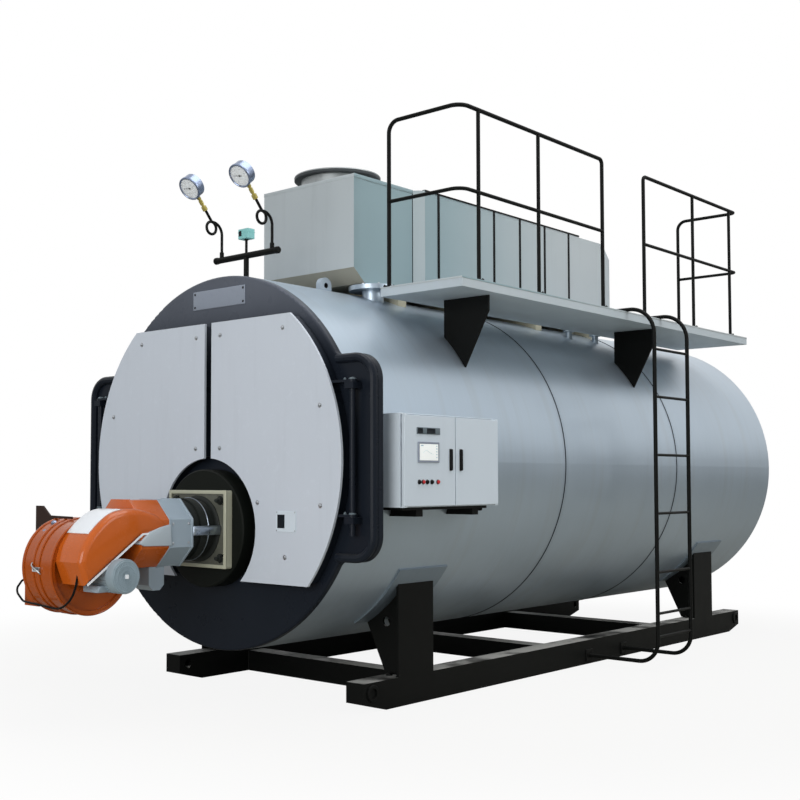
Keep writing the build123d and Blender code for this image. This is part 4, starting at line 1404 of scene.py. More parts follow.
@dataclass
class BurnerTrim:
    """Raised borders, studs, straps, covers, seams and motor details of the burner."""

    axis_z: float = 1.068
    flange_face: float = -2.784
    flange_half: Spot = (0.260, 0.231)
    slot_inset: float = 0.060
    flange_nut: Spot = (0.021, 0.018)
    nut_turn: float = 0.3
    ring_y: float = -2.862
    ring_radius: float = 0.1875
    bar_x: Spot = (0.176, 0.206)
    bar_z: Spot = (1.037, 1.093)
    head_z: float = 1.055
    head_flat: float = 0.385
    head_y: Spot = (-2.992, -3.160)
    head_screw_ys: Spot = (-3.020, -3.135)
    head_screw_z: float = 0.055
    head_screw: Spot = (0.006, 0.005)
    duct_end: float = -3.365
    hood_x: Spot = (-0.030, 0.200)
    floor: tuple[Spot, ...] = ((-3.725, 0.796), (-3.357, 1.054), (-3.240, 1.061))
    crown: tuple[Spot, ...] = (
        (-3.250, 1.165), (-3.380, 1.200), (-3.490, 1.196), (-3.583, 1.168), (-3.681, 1.090), (-3.745, 1.005),
        (-3.772, 0.920),
    )
    crown_steps: int = 4
    throat_end: Spot = (-3.160, 1.109)
    hood_round: float = 0.036
    cover_x: Spot = (-0.029, 0.166)
    tray_x: float = 0.150
    tray_depth: float = 0.0565
    tray: tuple[Spot, ...] = (
        (-3.388, 1.008), (-3.312, 1.070), (-3.240, 1.094), (-3.164, 1.108), (-3.156, 0.987), (-3.350, 0.992),
    )
    clips: tuple[Point, ...] = ((-0.235, -3.640, 1.118), (-0.245, -3.690, 1.070))
    fan_yz: Spot = (-3.533, 0.877)
    fan_radius: float = 0.265
    fan_rings: tuple[Spot, ...] = ((-0.298, 0.267), (-0.205, 0.267), (-0.150, 0.268), (-0.036, 0.266))
    latch_bends: tuple[Point, ...] = (
        (-0.203, -0.004, 0.906), (-0.203, -0.022, 0.894), (-0.131, -0.022, 0.862), (-0.125, -0.006, 0.848),
    )
    motor_yz: Spot = (-3.520, 0.838)
    motor_x: Spot = (-0.030, 0.265)
    motor_radius: float = 0.088
    fin_top: float = 0.0945
    fin_count: int = 28
    guard_bars: int = 40
    guard_rings: Point = (0.034, 0.058, 0.082)

    def build(self) -> None:
        """Make all pieces of the burner."""
        self.flange()
        self.throat()
        self.head()
        self.hood()
        self.fan()
        self.motor()

    def flange(self) -> None:
        """Raised border of the mounting flange and its four studs."""
        wide, high = self.flange_half
        y, z = self.flange_face, self.axis_z
        border = Piece.hoop((-wide, y - 0.012, z - high), (wide, y + 0.001, z + high), 1, 0.022)
        border.rounded(0.004, 3).settle("flange_border", FLANGE_OLIVE, slot="flange_olive")
        rods = Piece.turned([(0.012, -0.03), (0.012, 0.036), (0.009, 0.040)], 16)
        nuts = hex_bolt(*self.flange_nut)
        places = corner_places((-wide, wide), (z - high, z + high), self.slot_inset, y, self.nut_turn)
        Piece.joined([rods, nuts]).copies(places).settle("flange_studs", BURNER_DARK)

    def throat(self) -> None:
        """Collar, bright ring and side bars of the swivel joint on the throat."""
        stations = [(0.196, -0.004), (0.200, 0.0), (0.200, 0.006), (0.190, 0.012), (0.176, 0.014)]
        collar = Piece.turned(stations, 72).moved(aimed((0, self.flange_face, self.axis_z), Way.FRONT))
        collar.settle("throat_collar", BURNER_DARK)
        ring = Piece.bead(self.ring_radius, 0.002, 1.6, aimed((0, self.ring_y, self.axis_z), Way.FRONT))
        ring.settle("throat_ring", STRAP_STEEL)
        bars = []
        for side in SIDES:
            xs = sorted(side * x for x in self.bar_x)
            low, high = zip(xs, (self.head_y[0] - 0.002, self.flange_face), self.bar_z)
            bars.append(Piece.plate(low, high, outer(side), (0.010, 0.006), 0.004, 3))
        Piece.joined(bars).settle("throat_bars", STRAP_STEEL)

    def octagon(self, y0: float, y1: float, grown: float) -> Piece:
        """Octagonal slab about the burner's head, with the head's own facets.

        Args:
            y0: Rear end.
            y1: Front end.
            grown: How far it stands proud of the head.

        Returns:
            The slab.
        """
        corner = (self.head_flat / 2 + grown) / math.cos(math.pi / 8)
        slab = Piece.turned([(corner, 0.0), (corner, y0 - y1)], 8)
        return slab.moved(aimed((0, y0, self.head_z), Way.FRONT, math.pi / 8))

    def head(self) -> None:
        """Joint collars of head and duct, screws and side tray."""
        rear, front = self.head_y
        collar = self.octagon(front + 0.006, front - 0.006, 0.004)
        collar.rounded(0.002).settle("head_collar", BURNER_GREY, slot="burner_grey")
        lip = self.octagon(rear + 0.004, rear - 0.010, 0.005)
        lip.rounded(0.002).settle("head_lip", BURNER_GREY, slot="burner_grey")
        rim = self.octagon(self.duct_end + 0.008, self.duct_end - 0.004, 0.004)
        rim.rounded(0.002).settle("duct_rim", BURNER_ORANGE, slot="burner_orange")
        x = self.head_flat / 2
        heights = [self.head_z + side * self.head_screw_z for side in SIDES]
        places = [aimed((x, y, z), Way.RIGHT) for y in self.head_screw_ys for z in heights]
        dome_screw(*self.head_screw).copies(places).settle("head_screws", BOLT_ZINC)
        tray = Piece.slab([(self.tray_x, y, z) for y, z in self.tray], (self.tray_depth, 0.0, 0.0))
        tray.inset(Way.RIGHT, 0.006, 0.002).rounded(0.003, 3).settle("hood_tray", TRAY_GREY)

    def hood(self) -> None:
        """Hood with its duct, pale trim under it, white top cover and clips."""
        left, right = self.hood_x
        trim = Piece.ribbon([(right + 0.0005, y, z) for y, z in self.floor], (0.0, -0.005, 0.010), 0.004)
        trim.settle("hood_trim", WHITE_COVER)
        crown = smooth_line(self.crown, self.crown_steps)
        outline = [(left, y, z) for y, z in (*self.floor, self.throat_end, *crown)]
        scroll = Piece.slab(outline, (right - left, 0.0, 0.0)).face(Way.RIGHT)
        bpy.ops.mesh.bevel(offset=self.hood_round, segments=5, affect="EDGES", clamp_overlap=True)
        scroll.done()
        duct = self.octagon(self.head_y[1], self.duct_end, 0.0).rounded(0.006, 3)
        whole = Piece.joined([scroll, duct]).settle("hood_rounded", BURNER_ORANGE, slot="burner_orange")
        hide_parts("burner_hood")
        start, stop = self.cover_x
        span = crown[2 * self.crown_steps:4 * self.crown_steps + 2]
        cover = Piece.ribbon([(start, y, z + 0.003) for y, z in span], (stop - start, 0.0, 0.0), 0.006)
        cover.rounded(0.002).settle("top_cover", WHITE_COVER)
        clip = Piece.turned([(0.016, 0.0), (0.016, 0.010), (0.011, 0.018), (0.005, 0.020)], 24)
        clip.copies([aimed(spot, Way.FRONT) for spot in self.clips]).settle("fan_clips", GAUGE_STEEL)

    def fan(self) -> None:
        """Seam rings and latch of the fan drum."""
        rings = []
        for x, radius in self.fan_rings:
            rings.append(Piece.bead(radius, 0.006, 1.6, aimed((x, *self.fan_yz), Way.RIGHT)))
        Piece.joined(rings).settle("fan_rings", DRUM_ORANGE_SHADED, slot="burner_orange")
        y = self.fan_yz[0] - self.fan_radius
        low, high = (-0.197, y - 0.014, 0.858), (-0.131, y + 0.006, 0.884)
        latch = Piece.plate(low, high, Way.FRONT, (0.005, -0.004), 0.003, 3)
        loop = Piece.wire([(x, y + out, z) for x, out, z in self.latch_bends], 0.004)
        Piece.joined([latch, loop]).settle("fan_latch", BOLT_ZINC)

    def motor(self) -> None:
        """Cooling fins, cowl, fan guard, foot and bare rating plate of the motor."""
        y, z = self.motor_yz
        start, end = self.motor_x
        place = aimed((end, y, z), Way.RIGHT)
        low, high = (start + 0.03, -0.0022, self.motor_radius - 0.004), (end - 0.064, 0.0022, self.fin_top)
        fin = Piece.block(low, high)
        fin.taper(Way.UP, (1.0, 0.5, 1.0), (0.1, 0, self.fin_top)).rounded(0.0006)
        fin.copies(spokes((0, y, z), self.fin_count)).settle("motor_fins", MOTOR_GREY)
        stations = [(0.090, -0.062), (0.095, -0.060), (0.095, -0.008), (0.091, -0.001), (0.087, 0.0)]
        cowl = Piece.turned(stations, 56)
        cowl.inset(Way.UP, 0.004, -0.002).moved(place).settle("motor_cowl", MOTOR_GREY)
        bar = Piece.block((end - 0.0025, -0.0012, 0.014), (end + 0.0016, 0.0012, 0.082)).rounded(0.0006)
        bars = bar.copies(spokes((0, y, z), self.guard_bars))
        rims = [Piece.bead(radius, 0.002, 0.8, place, (56, 6)) for radius in self.guard_rings]
        hub = Piece.turned([(0.016, -0.002), (0.016, 0.003), (0.011, 0.005)], 24).moved(place)
        Piece.joined([bars, *rims, hub]).settle("motor_guard", MOTOR_GREY)
        disc = Piece.turned([(0.084, -0.0022), (0.084, -0.0016), (0.080, -0.0014)], 48)
        disc.moved(place).settle("motor_grille", METER_GREY)
        low, high = (end + 0.004, y - 0.011, z - 0.011), (end + 0.0062, y + 0.011, z + 0.011)
        Piece.plate(low, high, Way.RIGHT, (0.004, -0.0006)).settle("motor_plate", WHITE_COVER)
        foot = Piece.block((0.02, y - 0.105, z - 0.088), (0.17, y - 0.035, z - 0.050))
        foot.taper(Way.DOWN, (0.9, 1.2, 1.0), (0.095, y - 0.06, z - 0.088))
        foot.rounded(0.006, 3).settle("motor_foot", BURNER_GREY, slot="burner_grey")


@dataclass
class GaugeSet:
    """Bezels, dials, figures, needles and panes of the two pressure gauges, and the switch's window."""

    faces: tuple[Point, ...] = ((-0.2320, -2.6662, 3.2072), (0.2330, -2.6662, 3.2072))
    lean: float = math.radians(39.5)
    dial_radius: float = 0.066
    dial_sides: int = 64
    zero: float = math.radians(225)
    sweep: float = math.radians(270)
    tick_count: int = 21
    figures: tuple[str, ...] = ("0", "5", "10", "15", "20", "25")
    figure_radius: float = 0.043
    needle_turns: Spot = (0.207, 0.208)
    header: Point = (0.289, -2.392, 2.786)
    switch_low: Point = (-0.046, -2.423, 2.892)
    switch_back: float = -2.361

    def build(self) -> None:
        """Make both gauges and the switch's fittings."""
        for number, (face, pressure) in enumerate(zip(self.faces, self.needle_turns), 1):
            self.gauge(number, face, pressure)
        self.switch()

    def turn(self, share: float) -> Matrix:
        """Turn from the dial's right side to a share of the scale."""
        return Matrix.Rotation(self.zero - self.sweep * share, 4, "Z")

    def gauge(self, number: int, face: Point, pressure: float) -> None:
        """All pieces of one gauge.

        Args:
            number: Number in the pieces' names.
            face: Middle of the case's front.
            pressure: Share of the scale that the needle shows.
        """
        leaning = Matrix.Translation(face) @ Matrix.Rotation(self.lean, 4, "X")
        place = leaning @ aimed((0, 0, 0), Way.FRONT)
        flat = leaning @ Matrix.Rotation(math.pi / 2, 4, "X")
        stations = [
            (0.0765, -0.006), (0.079, -0.004), (0.079, 0.006), (0.0765, 0.010), (0.071, 0.011),
            (0.067, 0.008), (0.0665, 0.003),
        ]
        bezel = Piece.turned(stations, self.dial_sides).moved(place)
        bezel.settle(f"gauge_bezel_{number}", GAUGE_STEEL, slot="gauge_steel")
        dial = Piece.turned([(0.0662, 0.003), (0.0662, 0.0038), (0.064, 0.0042)], self.dial_sides)
        dial.moved(place).settle(f"gauge_dial_{number}", DIAL_WHITE)
        start, stop = self.dial_radius - 0.010, self.dial_radius - 0.003
        tick = Piece.block((start, -0.0006, 0.0042), (stop, 0.0006, 0.0046))
        tick.taper(Way.LEFT, (1.0, 0.6, 1.0), (start, 0, 0.0042))
        shares = [step / (self.tick_count - 1) for step in range(self.tick_count)]
        marks = [tick.copies([flat @ self.turn(share) for share in shares])]
        for step, text in enumerate(self.figures):
            spot = self.turn(step / (len(self.figures) - 1)) @ Vector((self.figure_radius, 0, 0.0044))
            marks.append(Piece.letters(text, 0.010, 0.0002).moved(flat @ Matrix.Translation(spot)))
        Piece.joined(marks).settle(f"gauge_marks_{number}", DIAL_GREY)
        needle = Piece.block((-0.016, -0.0026, 0.0052), (0.050, 0.0026, 0.0062))
        needle.taper(Way.RIGHT, (1.0, 0.2, 1.0), (0.050, 0, 0.0057))
        cap = Piece.turned([(0.007, 0.0048), (0.007, 0.0068), (0.004, 0.0078)], 20)
        needle = Piece.joined([needle, cap]).moved(flat @ self.turn(pressure))
        needle.settle(f"gauge_needle_{number}", DIAL_BLACK)
        stations = [(0.0668, 0.0080), (0.0668, 0.0092), (0.050, 0.0102), (0.025, 0.0107)]
        pane = Piece.turned(stations, self.dial_sides)
        pane.moved(place).settle(f"gauge_pane_{number}", GLASS)

    def switch(self) -> None:
        """Dark window, lid line and stem of the pressure switch, and caps on the header's ends."""
        x, y, z = self.switch_low
        low, high = (x + 0.010, y - 0.003, z + 0.018), (x + 0.034, y + 0.001, z + 0.050)
        Piece.plate(low, high, Way.FRONT, (0.003, -0.001), 0.001).settle("switch_window", METER_DARK)
        low, high = (x - 0.0012, y - 0.0012, z + 0.040), (-x + 0.0012, self.switch_back + 0.0012, z + 0.043)
        Piece.hoop(low, high, 2, 0.004).settle("switch_lid_line", SWITCH_TEAL, slot="switch_teal")
        half, y, z = self.header
        stem = Piece.turned([(0.0086, 2.800), (0.0086, 2.884), (0.0135, 2.886), (0.0135, 2.8915)], 24)
        stem.moved(Matrix.Translation((0, y, 0))).settle("switch_stem", FRAME_BLACK, slot="frame_black")
        cap = Piece.turned([(0.0215, -0.022), (0.0225, -0.020), (0.0225, 0.0), (0.018, 0.006)])
        ends = [aimed((side * half, y, z), outer(side)) for side in SIDES]
        cap.copies(ends).settle("header_caps", FRAME_BLACK, slot="frame_black")


@dataclass
class EconomizerTrim:
    """Straps, edge strips, outlet trim and rear cover of the economizer, and the flue's beads and band."""

    half: float = 0.482
    narrow: float = 0.417
    low_z: float = 2.650
    top_z: float = 3.352
    straps: tuple[float, ...] = (-1.013, -0.337, 0.007, 0.356, 0.713)
    strap_width: float = 0.024
    outlet: Spot = (-1.831, -1.221)
    body_y: Spot = (-1.165, 0.877)
    rear_y: float = 1.371
    cover_bolt_xs: tuple[float, ...] = (-0.285, -0.095, 0.095, 0.285)
    cover_bolt_zs: tuple[float, ...] = (2.775, 2.89, 3.01, 3.125)
    cover_bolt: Spot = (0.011, 0.009)
    cover_x: Spot = (-0.30, 0.30)
    cover_z: Spot = (2.76, 3.14)
    cover_rise: float = 0.014
    flue: Point = (0.0, -1.530, 3.438)
    flue_radius: float = 0.250
    lip_radius: float = 0.292

    def build(self) -> None:
        """Make the straps, strips, covers and bolts."""
        hoops = []
        for y in self.straps:
            low = (-self.half - 0.004, y - self.strap_width / 2, self.low_z - 0.003)
            high = (self.half + 0.004, y + self.strap_width / 2, self.top_z + 0.004)
            hoops.append(Piece.hoop(low, high, 1, 0.0042).rounded(0.001))
        Piece.joined(hoops).settle("economizer_straps", RUBBER)
        front, rear = self.outlet
        low = (-self.narrow - 0.002, rear - 0.004, self.low_z - 0.002)
        high = (self.narrow + 0.002, rear + 0.003, self.top_z + 0.002)
        Piece.hoop(low, high, 1, 0.0022).settle("outlet_joint", RUBBER)
        edges = []
        for side in SIDES:
            xs = sorted((side * (self.half - 0.022), side * (self.half + 0.003)))
            low, high = zip(xs, self.body_y, (self.top_z - 0.001, self.top_z + 0.006))
            strip = Piece.block(low, high).extrude(outer(side), (side * 0.001, 0, -0.006))
            edges.append(strip.rounded(0.0015))
        Piece.joined(edges).settle("economizer_edge_strips", RUBBER)
        low = (-self.narrow - 0.003, front - 0.0005, self.top_z - 0.022)
        high = (self.narrow + 0.003, rear, self.top_z + 0.003)
        border = Piece.hoop(low, high, 2, 0.004).rounded(0.001)
        border.settle("outlet_edge", ECO_GREY, slot="economizer_grey")
        self.rear_cover()
        self.flue_trim()

    def rear_cover(self) -> None:
        """Bolted inspection cover on the rear end."""
        face = self.rear_y + self.cover_rise
        low, high = zip(self.cover_x, (self.rear_y - 0.001, face), self.cover_z)
        cover = Piece.plate(low, high, Way.BACK, (0.03, -0.004), 0.003)
        cover.settle("economizer_cover", ECO_GREY, slot="economizer_grey")
        xs, zs = self.cover_bolt_xs, self.cover_bolt_zs
        spots = [(x, z) for x in xs for z in zs if x in (xs[0], xs[-1]) or z in (zs[0], zs[-1])]
        places = [aimed((x, face, z), Way.BACK) for x, z in spots]
        hex_bolt(*self.cover_bolt).copies(places).settle("economizer_cover_bolts", BOLT_ZINC)

    def flue_trim(self) -> None:
        """Rolled lip, weld fillet and dark band of the flue neck."""
        x, y, z = self.flue
        beads = []
        for radius, top, bar in ((self.lip_radius, z, 0.008), (self.flue_radius + 0.003, self.top_z, 0.010)):
            beads.append(Piece.bead(radius, bar, 0.75, aimed((x, y, top + 0.006), Way.UP), (96, 10)))
        Piece.joined(beads).settle("flue_beads", FLUE_STEEL, slot="flue_steel")
        stations = [(0.2975, z - 0.014), (0.299, z - 0.012), (0.299, z + 0.006), (0.2965, z + 0.009)]
        band = Piece.turned(stations, 96).bored(0.046).moved(Matrix.Translation((x, y, 0)))
        band.settle("flue_band", FLUE_DARK, slot="flue_steel")


@dataclass
class WalkwayTrim:
    """Edge strip and post feet of the walkway, and pads of the ladder."""

    deck_low: Spot = (0.598, -1.776)
    deck_high: Point = (1.240, 2.380, 2.590)
    posts: tuple[Spot, ...] = (
        (0.648, -1.751), (1.215, -1.567), (1.215, -0.884), (1.215, -0.044), (0.688, 2.235), (1.215, 2.104),
        (1.215, 1.408), (1.215, 0.578),
    )
    foot_half: float = 0.028
    foot_bolts: Spot = (-0.02, 0.02)
    foot_bolt: Spot = (0.007, 0.006)
    foot_top: float = 0.008
    ladder_ys: Spot = (0.258, 0.778)
    beam_x: float = 0.895
    pad_y: float = 0.045
    pad_z: Spot = (0.017, 0.107)

    def build(self) -> None:
        """Make the strip, feet and pads."""
        (x0, y0), (x1, y1, z1) = self.deck_low, self.deck_high
        low, high = (x0 - 0.002, y0 - 0.002, z1 - 0.008), (x1 + 0.002, y1 + 0.002, z1 + 0.003)
        edge = Piece.hoop(low, high, 2, 0.012).rounded(0.0015)
        edge.settle("deck_edge", ECO_GREY, slot="deck_grey")
        half = self.foot_half
        low, high = (-half, -half, -0.0005), (half, half, self.foot_top)
        foot = Piece.plate(low, high, Way.UP, (0.006, 0.002), 0.002)
        places = [aimed((x, y, self.foot_top), Way.UP) for x in self.foot_bolts for y in self.foot_bolts]
        shoe = Piece.joined([foot, hex_bolt(*self.foot_bolt).copies(places)])
        inward = [Matrix.Translation((min(x, x1 - half - 0.003), y, z1)) for x, y in self.posts]
        shoe.copies(inward).settle("post_feet", FRAME_BLACK, slot="frame_black")
        low, high = zip((self.beam_x - 0.0005, self.beam_x + 0.010), (-self.pad_y, self.pad_y), self.pad_z)
        pad = Piece.plate(low, high, Way.RIGHT, (0.012, -0.002), 0.003)
        pads = pad.copies([Matrix.Translation((0, y, 0)) for y in self.ladder_ys])
        pads.settle("ladder_pads", FRAME_BLACK, slot="frame_black")


@dataclass
class CabinetTrim:
    """Handles, meter, screen, buttons, gasket, rain lip and cable glands of the control cabinet."""

    face_x: float = 1.350
    box_x: Spot = (1.160, 1.316)
    box_y: Spot = (-2.468, -1.570)
    box_z: Spot = (1.209, 1.728)
    gasket_x: Spot = (1.3155, 1.3190)
    meter_y: Spot = (-2.361, -2.151)
    meter_z: Spot = (1.617, 1.655)
    meter_split: float = 0.42
    screen_y: Spot = (-2.352, -2.161)
    screen_z: Spot = (1.459, 1.574)
    mark_rows: int = 5
    wave: tuple[float, ...] = (0.0, 0.014, 0.018, 0.008, 0.0, -0.004)
    button_z: float = 1.350
    black_ys: Point = (-2.340, -2.268, -2.226)
    red_ys: Spot = (-2.304, -2.170)
    handles: tuple[tuple[float, Body], ...] = ((-2.049, Body.CABINET_FRONT), (-1.952, Body.CABINET_REAR))
    handle_half: float = 0.011
    handle_z: Spot = (1.413, 1.540)
    gland_x: float = 1.235
    gland_ys: Spot = (-1.635, -1.602)

    def corners(self, ys: Spot, zs: Spot, rise: float, margin: float = 0.0) -> tuple[Point, Point]:
        """Corners of a plate on the doors' face.

        Args:
            ys: Its two sides.
            zs: Its lower and upper edge.
            rise: How far it stands out.
            margin: How much smaller it is all round.

        Returns:
            The lowest and the highest corner.
        """
        low = (self.face_x - 0.0005, ys[0] + margin, zs[0] + margin)
        return low, (self.face_x + rise, ys[1] - margin, zs[1] - margin)

    def build(self) -> None:
        """Make all pieces of the cabinet."""
        for number, (y, body) in enumerate(self.handles, 1):
            ys = (y - self.handle_half, y + self.handle_half)
            bar = Piece.block(*self.corners(ys, self.handle_z, 0.014))
            bar.taper(Way.RIGHT, (1.0, 0.7, 0.94), (self.face_x, y, sum(self.handle_z) / 2))
            bar.inset(Way.RIGHT, 0.004, -0.003).rounded(0.003, 3)
            bar.settle(f"cabinet_handle_{number}", RUBBER, body)
        self.panel()
        self.buttons()
        self.box_trim()

    def panel(self) -> None:
        """Meter strip and touch screen."""
        body = Body.CABINET_FRONT
        y0, y1 = self.meter_y
        split = y0 + (y1 - y0) * self.meter_split
        low, high = self.corners(self.meter_y, self.meter_z, 0.004)
        strip = Piece.plate(low, high, Way.RIGHT, (0.003, 0.001), 0.0012)
        strip.settle("meter_strip", METER_GREY, body)
        for number, ys in enumerate(((y0, split - 0.036), (split - 0.004, y1 - 0.044)), 1):
            low, high = self.corners(ys, self.meter_z, 0.0075, 0.004)
            pane = Piece.plate(low, high, Way.RIGHT, (0.004, -0.001), 0.001)
            pane.settle(f"meter_pane_{number}", METER_DARK, body)
        low, high = self.corners(self.screen_y, self.screen_z, 0.007)
        bezel = Piece.plate(low, high, Way.RIGHT, (0.010, -0.002), 0.002, 3)
        bezel.settle("screen_bezel", PLATE_SILVER, body)
        low, high = self.corners(self.screen_y, self.screen_z, 0.0062, 0.012)
        Piece.plate(low, high, Way.RIGHT, (0.002, 0.0002)).settle("screen_glass", SCREEN_LIGHT, body)
        (y0, y1), (z0, z1) = self.screen_y, self.screen_z
        rows = [z0 + 0.026 + row * 0.016 for row in range(self.mark_rows)]
        spans = [((y1 - 0.030, y1 - 0.020), (z, z + 0.006)) for z in rows]
        spans.append(((y0 + 0.020, y0 + 0.044), (z1 - 0.024, z1 - 0.018)))
        marks = [Piece.block(*self.corners(ys, zs, 0.0067)) for ys, zs in spans]
        line = [(self.face_x + 0.0066, y0 + 0.035 + step * 0.02, z0 + 0.05 + rise)
                for step, rise in enumerate(self.wave)]
        Piece.joined([*marks, Piece.wire(line, 0.0008)]).settle("screen_marks", SCREEN_MARK, body)

    def buttons(self) -> None:
        """Row of push buttons and lamps under the screen."""
        collar = Piece.turned([(0.0135, -0.0005), (0.0135, 0.003), (0.0115, 0.0045)], 24)
        red = [aimed((self.face_x, y, self.button_z), Way.RIGHT) for y in self.red_ys]
        black = [aimed((self.face_x, y, self.button_z), Way.RIGHT) for y in self.black_ys]
        collar.copies(red + black).settle("button_collars", DIAL_BLACK, Body.CABINET_FRONT)
        for name, finish, places in (("buttons_red", BUTTON_RED, red), ("buttons_black", RUBBER, black)):
            cap = Piece.turned([(0.0105, 0.003), (0.0105, 0.009), (0.008, 0.0115), (0.004, 0.012)], 24)
            cap.copies(places).settle(name, finish, Body.CABINET_FRONT)

    def box_trim(self) -> None:
        """Door gasket, rain lip over the doors, and cable glands under the box."""
        (y0, y1), (z0, z1) = self.box_y, self.box_z
        low, high = zip(self.gasket_x, (y0 + 0.001, y1 - 0.001), (z0 + 0.003, z1 - 0.003))
        gasket = Piece.hoop(low, high, 0, 0.012).rounded(0.001)
        gasket.settle("cabinet_gasket", CABINET_GREY, slot="cabinet_grey")
        lip = Piece.block(*zip(self.box_x, self.box_y, (z1 - 0.0005, z1 + 0.004)))
        lip.extrude(Way.RIGHT, (0.012, 0, -0.002)).rounded(0.0015)
        lip.settle("cabinet_lip", CABINET_GREY, slot="cabinet_grey")
        stations = [(0.020, 0.0), (0.020, 0.010), (0.016, 0.012), (0.016, 0.028), (0.010, 0.034)]
        places = [aimed((self.gland_x, y, z0), Way.DOWN) for y in self.gland_ys]
        Piece.turned(stations, 20).copies(places).settle("cabinet_glands", RUBBER)


@dataclass
class SkidTrim:
    """Eye plates, weld beads and anchor bolts of the skid and its saddles."""

    beam_out: float = 0.895
    beam_in: float = 0.755
    beam_top: float = 0.175
    eye_ys: Spot = (-2.210, 2.840)
    eye_z: float = 0.112
    eye_depth: float = 0.011
    saddles: Spot = (-1.797, 2.199)
    saddle_half: float = 0.171
    saddle_weld_in: float = 0.016
    crosses: Point = (-1.575, 0.0, 1.670)
    cross_half: float = 0.070
    cross_z: Spot = (0.002, 0.142)
    bead_radius: float = 0.006
    bolt_x: float = 0.800
    bolt_steps: tuple[float, ...] = (-0.145, -0.05, 0.05, 0.145)
    saddle_bolt: Spot = (0.017, 0.014)

    def build(self) -> None:
        """Make the plates, beads and bolts."""
        ring = Piece.turned([(0.050, -0.0005), (0.050, 0.008), (0.046, 0.012), (0.034, 0.012)])
        ring.pick(lambda spot, normal: normal.z > LEVEL_COSINE and spot.xy.length < AXIS_REACH)
        bpy.ops.mesh.inset(thickness=0.004)
        ring.draw((0, 0, -self.eye_depth))
        ring.done()
        places = [
            aimed((side * self.beam_out, y, self.eye_z), outer(side)) for side in SIDES for y in self.eye_ys]
        ring.copies(places).settle("eye_plates", FRAME_BLACK, slot="frame_black")
        runs = []
        for side in SIDES:
            x = side * (self.beam_out - self.saddle_weld_in)
            runs += [[(x, y + end * self.saddle_half, self.beam_top) for end in SIDES] for y in self.saddles]
            edges = [y + end * self.cross_half for y in self.crosses for end in SIDES]
            runs += [[(side * self.beam_in, edge, z) for z in self.cross_z] for edge in edges]
        beads = [Piece.wire(run, self.bead_radius, smooth=False) for run in runs]
        Piece.joined(beads).settle("weld_beads", FRAME_BLACK, slot="frame_black")
        spots = [(side * self.bolt_x, y + step, self.beam_top)
                 for side in SIDES for y in self.saddles for step in self.bolt_steps]
        bolts = hex_bolt(*self.saddle_bolt).copies([aimed(spot, Way.UP) for spot in spots])
        bolts.settle("saddle_bolts", FRAME_BLACK, slot="frame_black")


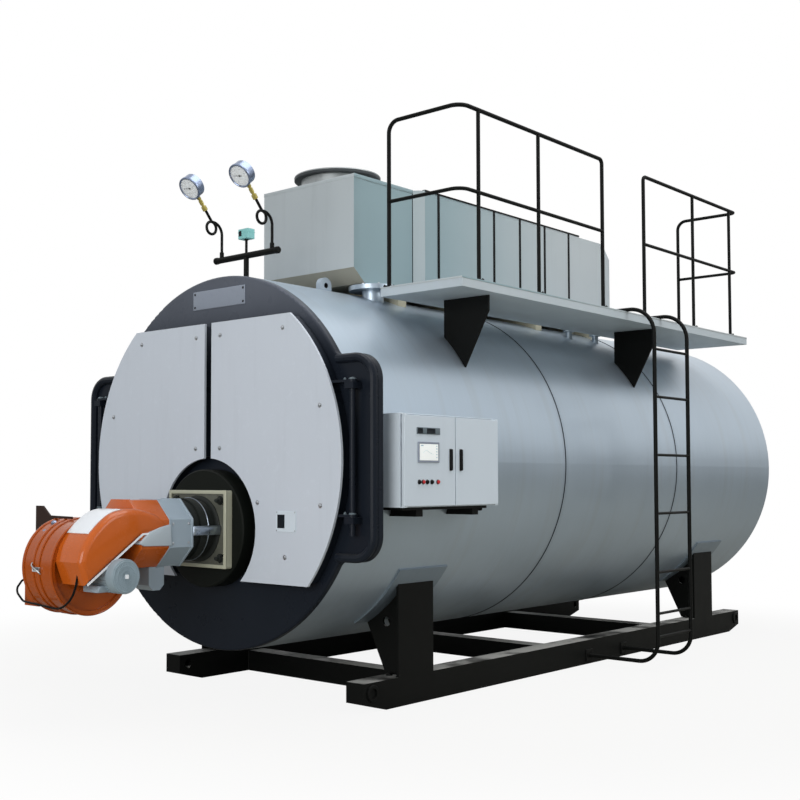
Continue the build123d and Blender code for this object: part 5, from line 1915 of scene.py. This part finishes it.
@dataclass
class Studio:
    """Floor, light and the camera at the photograph's place."""

    eye: Point = (5.3613, -7.4273, 1.3641)
    yaw: float = math.radians(-42.307)
    pitch: float = math.radians(2.697)
    lens: float = 52.27
    shift: Spot = (0.079, 0.0309)
    floor_size: float = 90.0
    shadow_reach: Spot = (3.0, 5.5)
    shadow_wash: float = 0.90
    horizon: tuple[float, float, float, float] = (0.0, 0.16, 0.35, 1.0)

    def build(self) -> None:
        """Make the camera, the lamps, the world and the floor."""
        self.camera()
        self.lamps()
        self.world()
        self.floor()
        bpy.context.scene.view_settings.view_transform = "Standard"

    def camera(self) -> None:
        """Camera that looks along the solved direction."""
        level = math.cos(self.pitch)
        ahead = Vector((math.sin(self.yaw) * level, math.cos(self.yaw) * level, math.sin(self.pitch)))
        right = ahead.cross(Vector((0, 0, 1))).normalized()
        above = right.cross(ahead)
        data = bpy.data.cameras.new("photo_camera")
        data.sensor_width = 36.0
        data.lens = self.lens
        data.shift_x, data.shift_y = self.shift
        data.clip_end = 200.0
        made = bpy.data.objects.new("photo_camera", data)
        turned = Matrix((right, above, -ahead)).transposed().to_4x4()
        made.matrix_world = Matrix.Translation(self.eye) @ turned
        bpy.context.scene.collection.objects.link(made)
        bpy.context.scene.camera = made

    def lamp(self, name: str, spot: Point, target: Point, size: float, power: float) -> None:
        """Large soft square lamp.

        Args:
            name: Lamp name.
            spot: Where it hangs.
            target: What it points at.
            size: Side length.
            power: Watts.
        """
        data = bpy.data.lights.new(name, "AREA")
        data.shape = "SQUARE"
        data.size = size
        data.energy = power
        made = bpy.data.objects.new(name, data)
        made.location = spot
        made.rotation_euler = (Vector(target) - Vector(spot)).to_track_quat("-Z", "Y").to_euler()
        bpy.context.scene.collection.objects.link(made)

    def lamps(self) -> None:
        """Overhead light, front light and a side light."""
        self.lamp("overhead", (2.5, -0.5, 9.0), (0.3, 0.5, 1.5), 6.5, 430.0)
        self.lamp("front", (3.0, -12.0, 2.2), (0.0, -2.0, 1.3), 6.0, 560.0)
        self.lamp("side", (11.0, 1.5, 6.0), (0.8, 0.5, 1.8), 5.0, 260.0)

    def world(self) -> None:
        """Even pale light; the camera and glass see white, and metal sees white over a dim horizon."""
        world = bpy.data.worlds.new("studio")
        bpy.context.scene.world = world
        world.use_nodes = True
        graph = Graph(world.node_tree)
        rays = ("Camera", "Glossy", "Transmission")
        seen, mirrored, through = (graph.node("ShaderNodeLightPath", output=f"Is {ray} Ray") for ray in rays)
        incoming = graph.node("ShaderNodeNewGeometry", output="Incoming")
        rise = graph.node("ShaderNodeSeparateXYZ", {0: incoming}, output=2)
        dim = rise.absolute().spread(*self.horizon)
        soft = graph.node("ShaderNodeBackground", {"Color": linear(Tint.LIGHT.value), "Strength": 0.46})
        sky = graph.node("ShaderNodeBackground", {"Color": WHITE, "Strength": dim})
        white = graph.node("ShaderNodeBackground", {"Color": WHITE, "Strength": 1.0})
        mixed = graph.node("ShaderNodeMixShader", {0: mirrored, 1: soft, 2: sky})
        mixed = graph.node("ShaderNodeMixShader", {0: seen.larger(through), 1: mixed, 2: white})
        graph.node("ShaderNodeOutputWorld", {"Surface": mixed})

    def floor(self) -> None:
        """Pale floor that keeps the object's shadow."""
        Piece.clear()
        bpy.ops.mesh.primitive_plane_add(size=self.floor_size, location=(0, 0, -0.0005))
        plane = Piece.fresh()
        plane.made.name = "floor"
        material = bpy.data.materials.new("floor_pale")
        material.use_nodes = True
        graph = Graph(material.node_tree)
        matt = graph.node("ShaderNodeBsdfDiffuse", {"Color": linear(Tint.FLOOR.value)})
        glow = graph.node("ShaderNodeEmission", {"Color": WHITE, "Strength": 1.0})
        seen = graph.node("ShaderNodeLightPath", output="Is Camera Ray")
        away = graph.node("ShaderNodeVectorMath", {0: graph.place()}, {"operation": "LENGTH"}, "Value")
        plain = away.spread(*self.shadow_reach, self.shadow_wash, 1.0)
        graph.surface(graph.node("ShaderNodeMixShader", {0: seen * plain, 1: matt, 2: glow}))
        plane.made.data.materials.append(material)


def main() -> None:
    """Build the studio, dress the nodes and add the pieces in order."""
    logging.basicConfig(level=logging.INFO, format="%(name)s %(message)s")
    Studio().build()
    dress_nodes()
    for part in (
        ShellTrim(), FrontTrim(), BurnerTrim(), GaugeSet(), EconomizerTrim(), WalkwayTrim(), CabinetTrim(),
        SkidTrim(),
    ):
        part.build()
        LOG.info("%s is built", type(part).__name__)


if __name__ == "__main__":
    main()
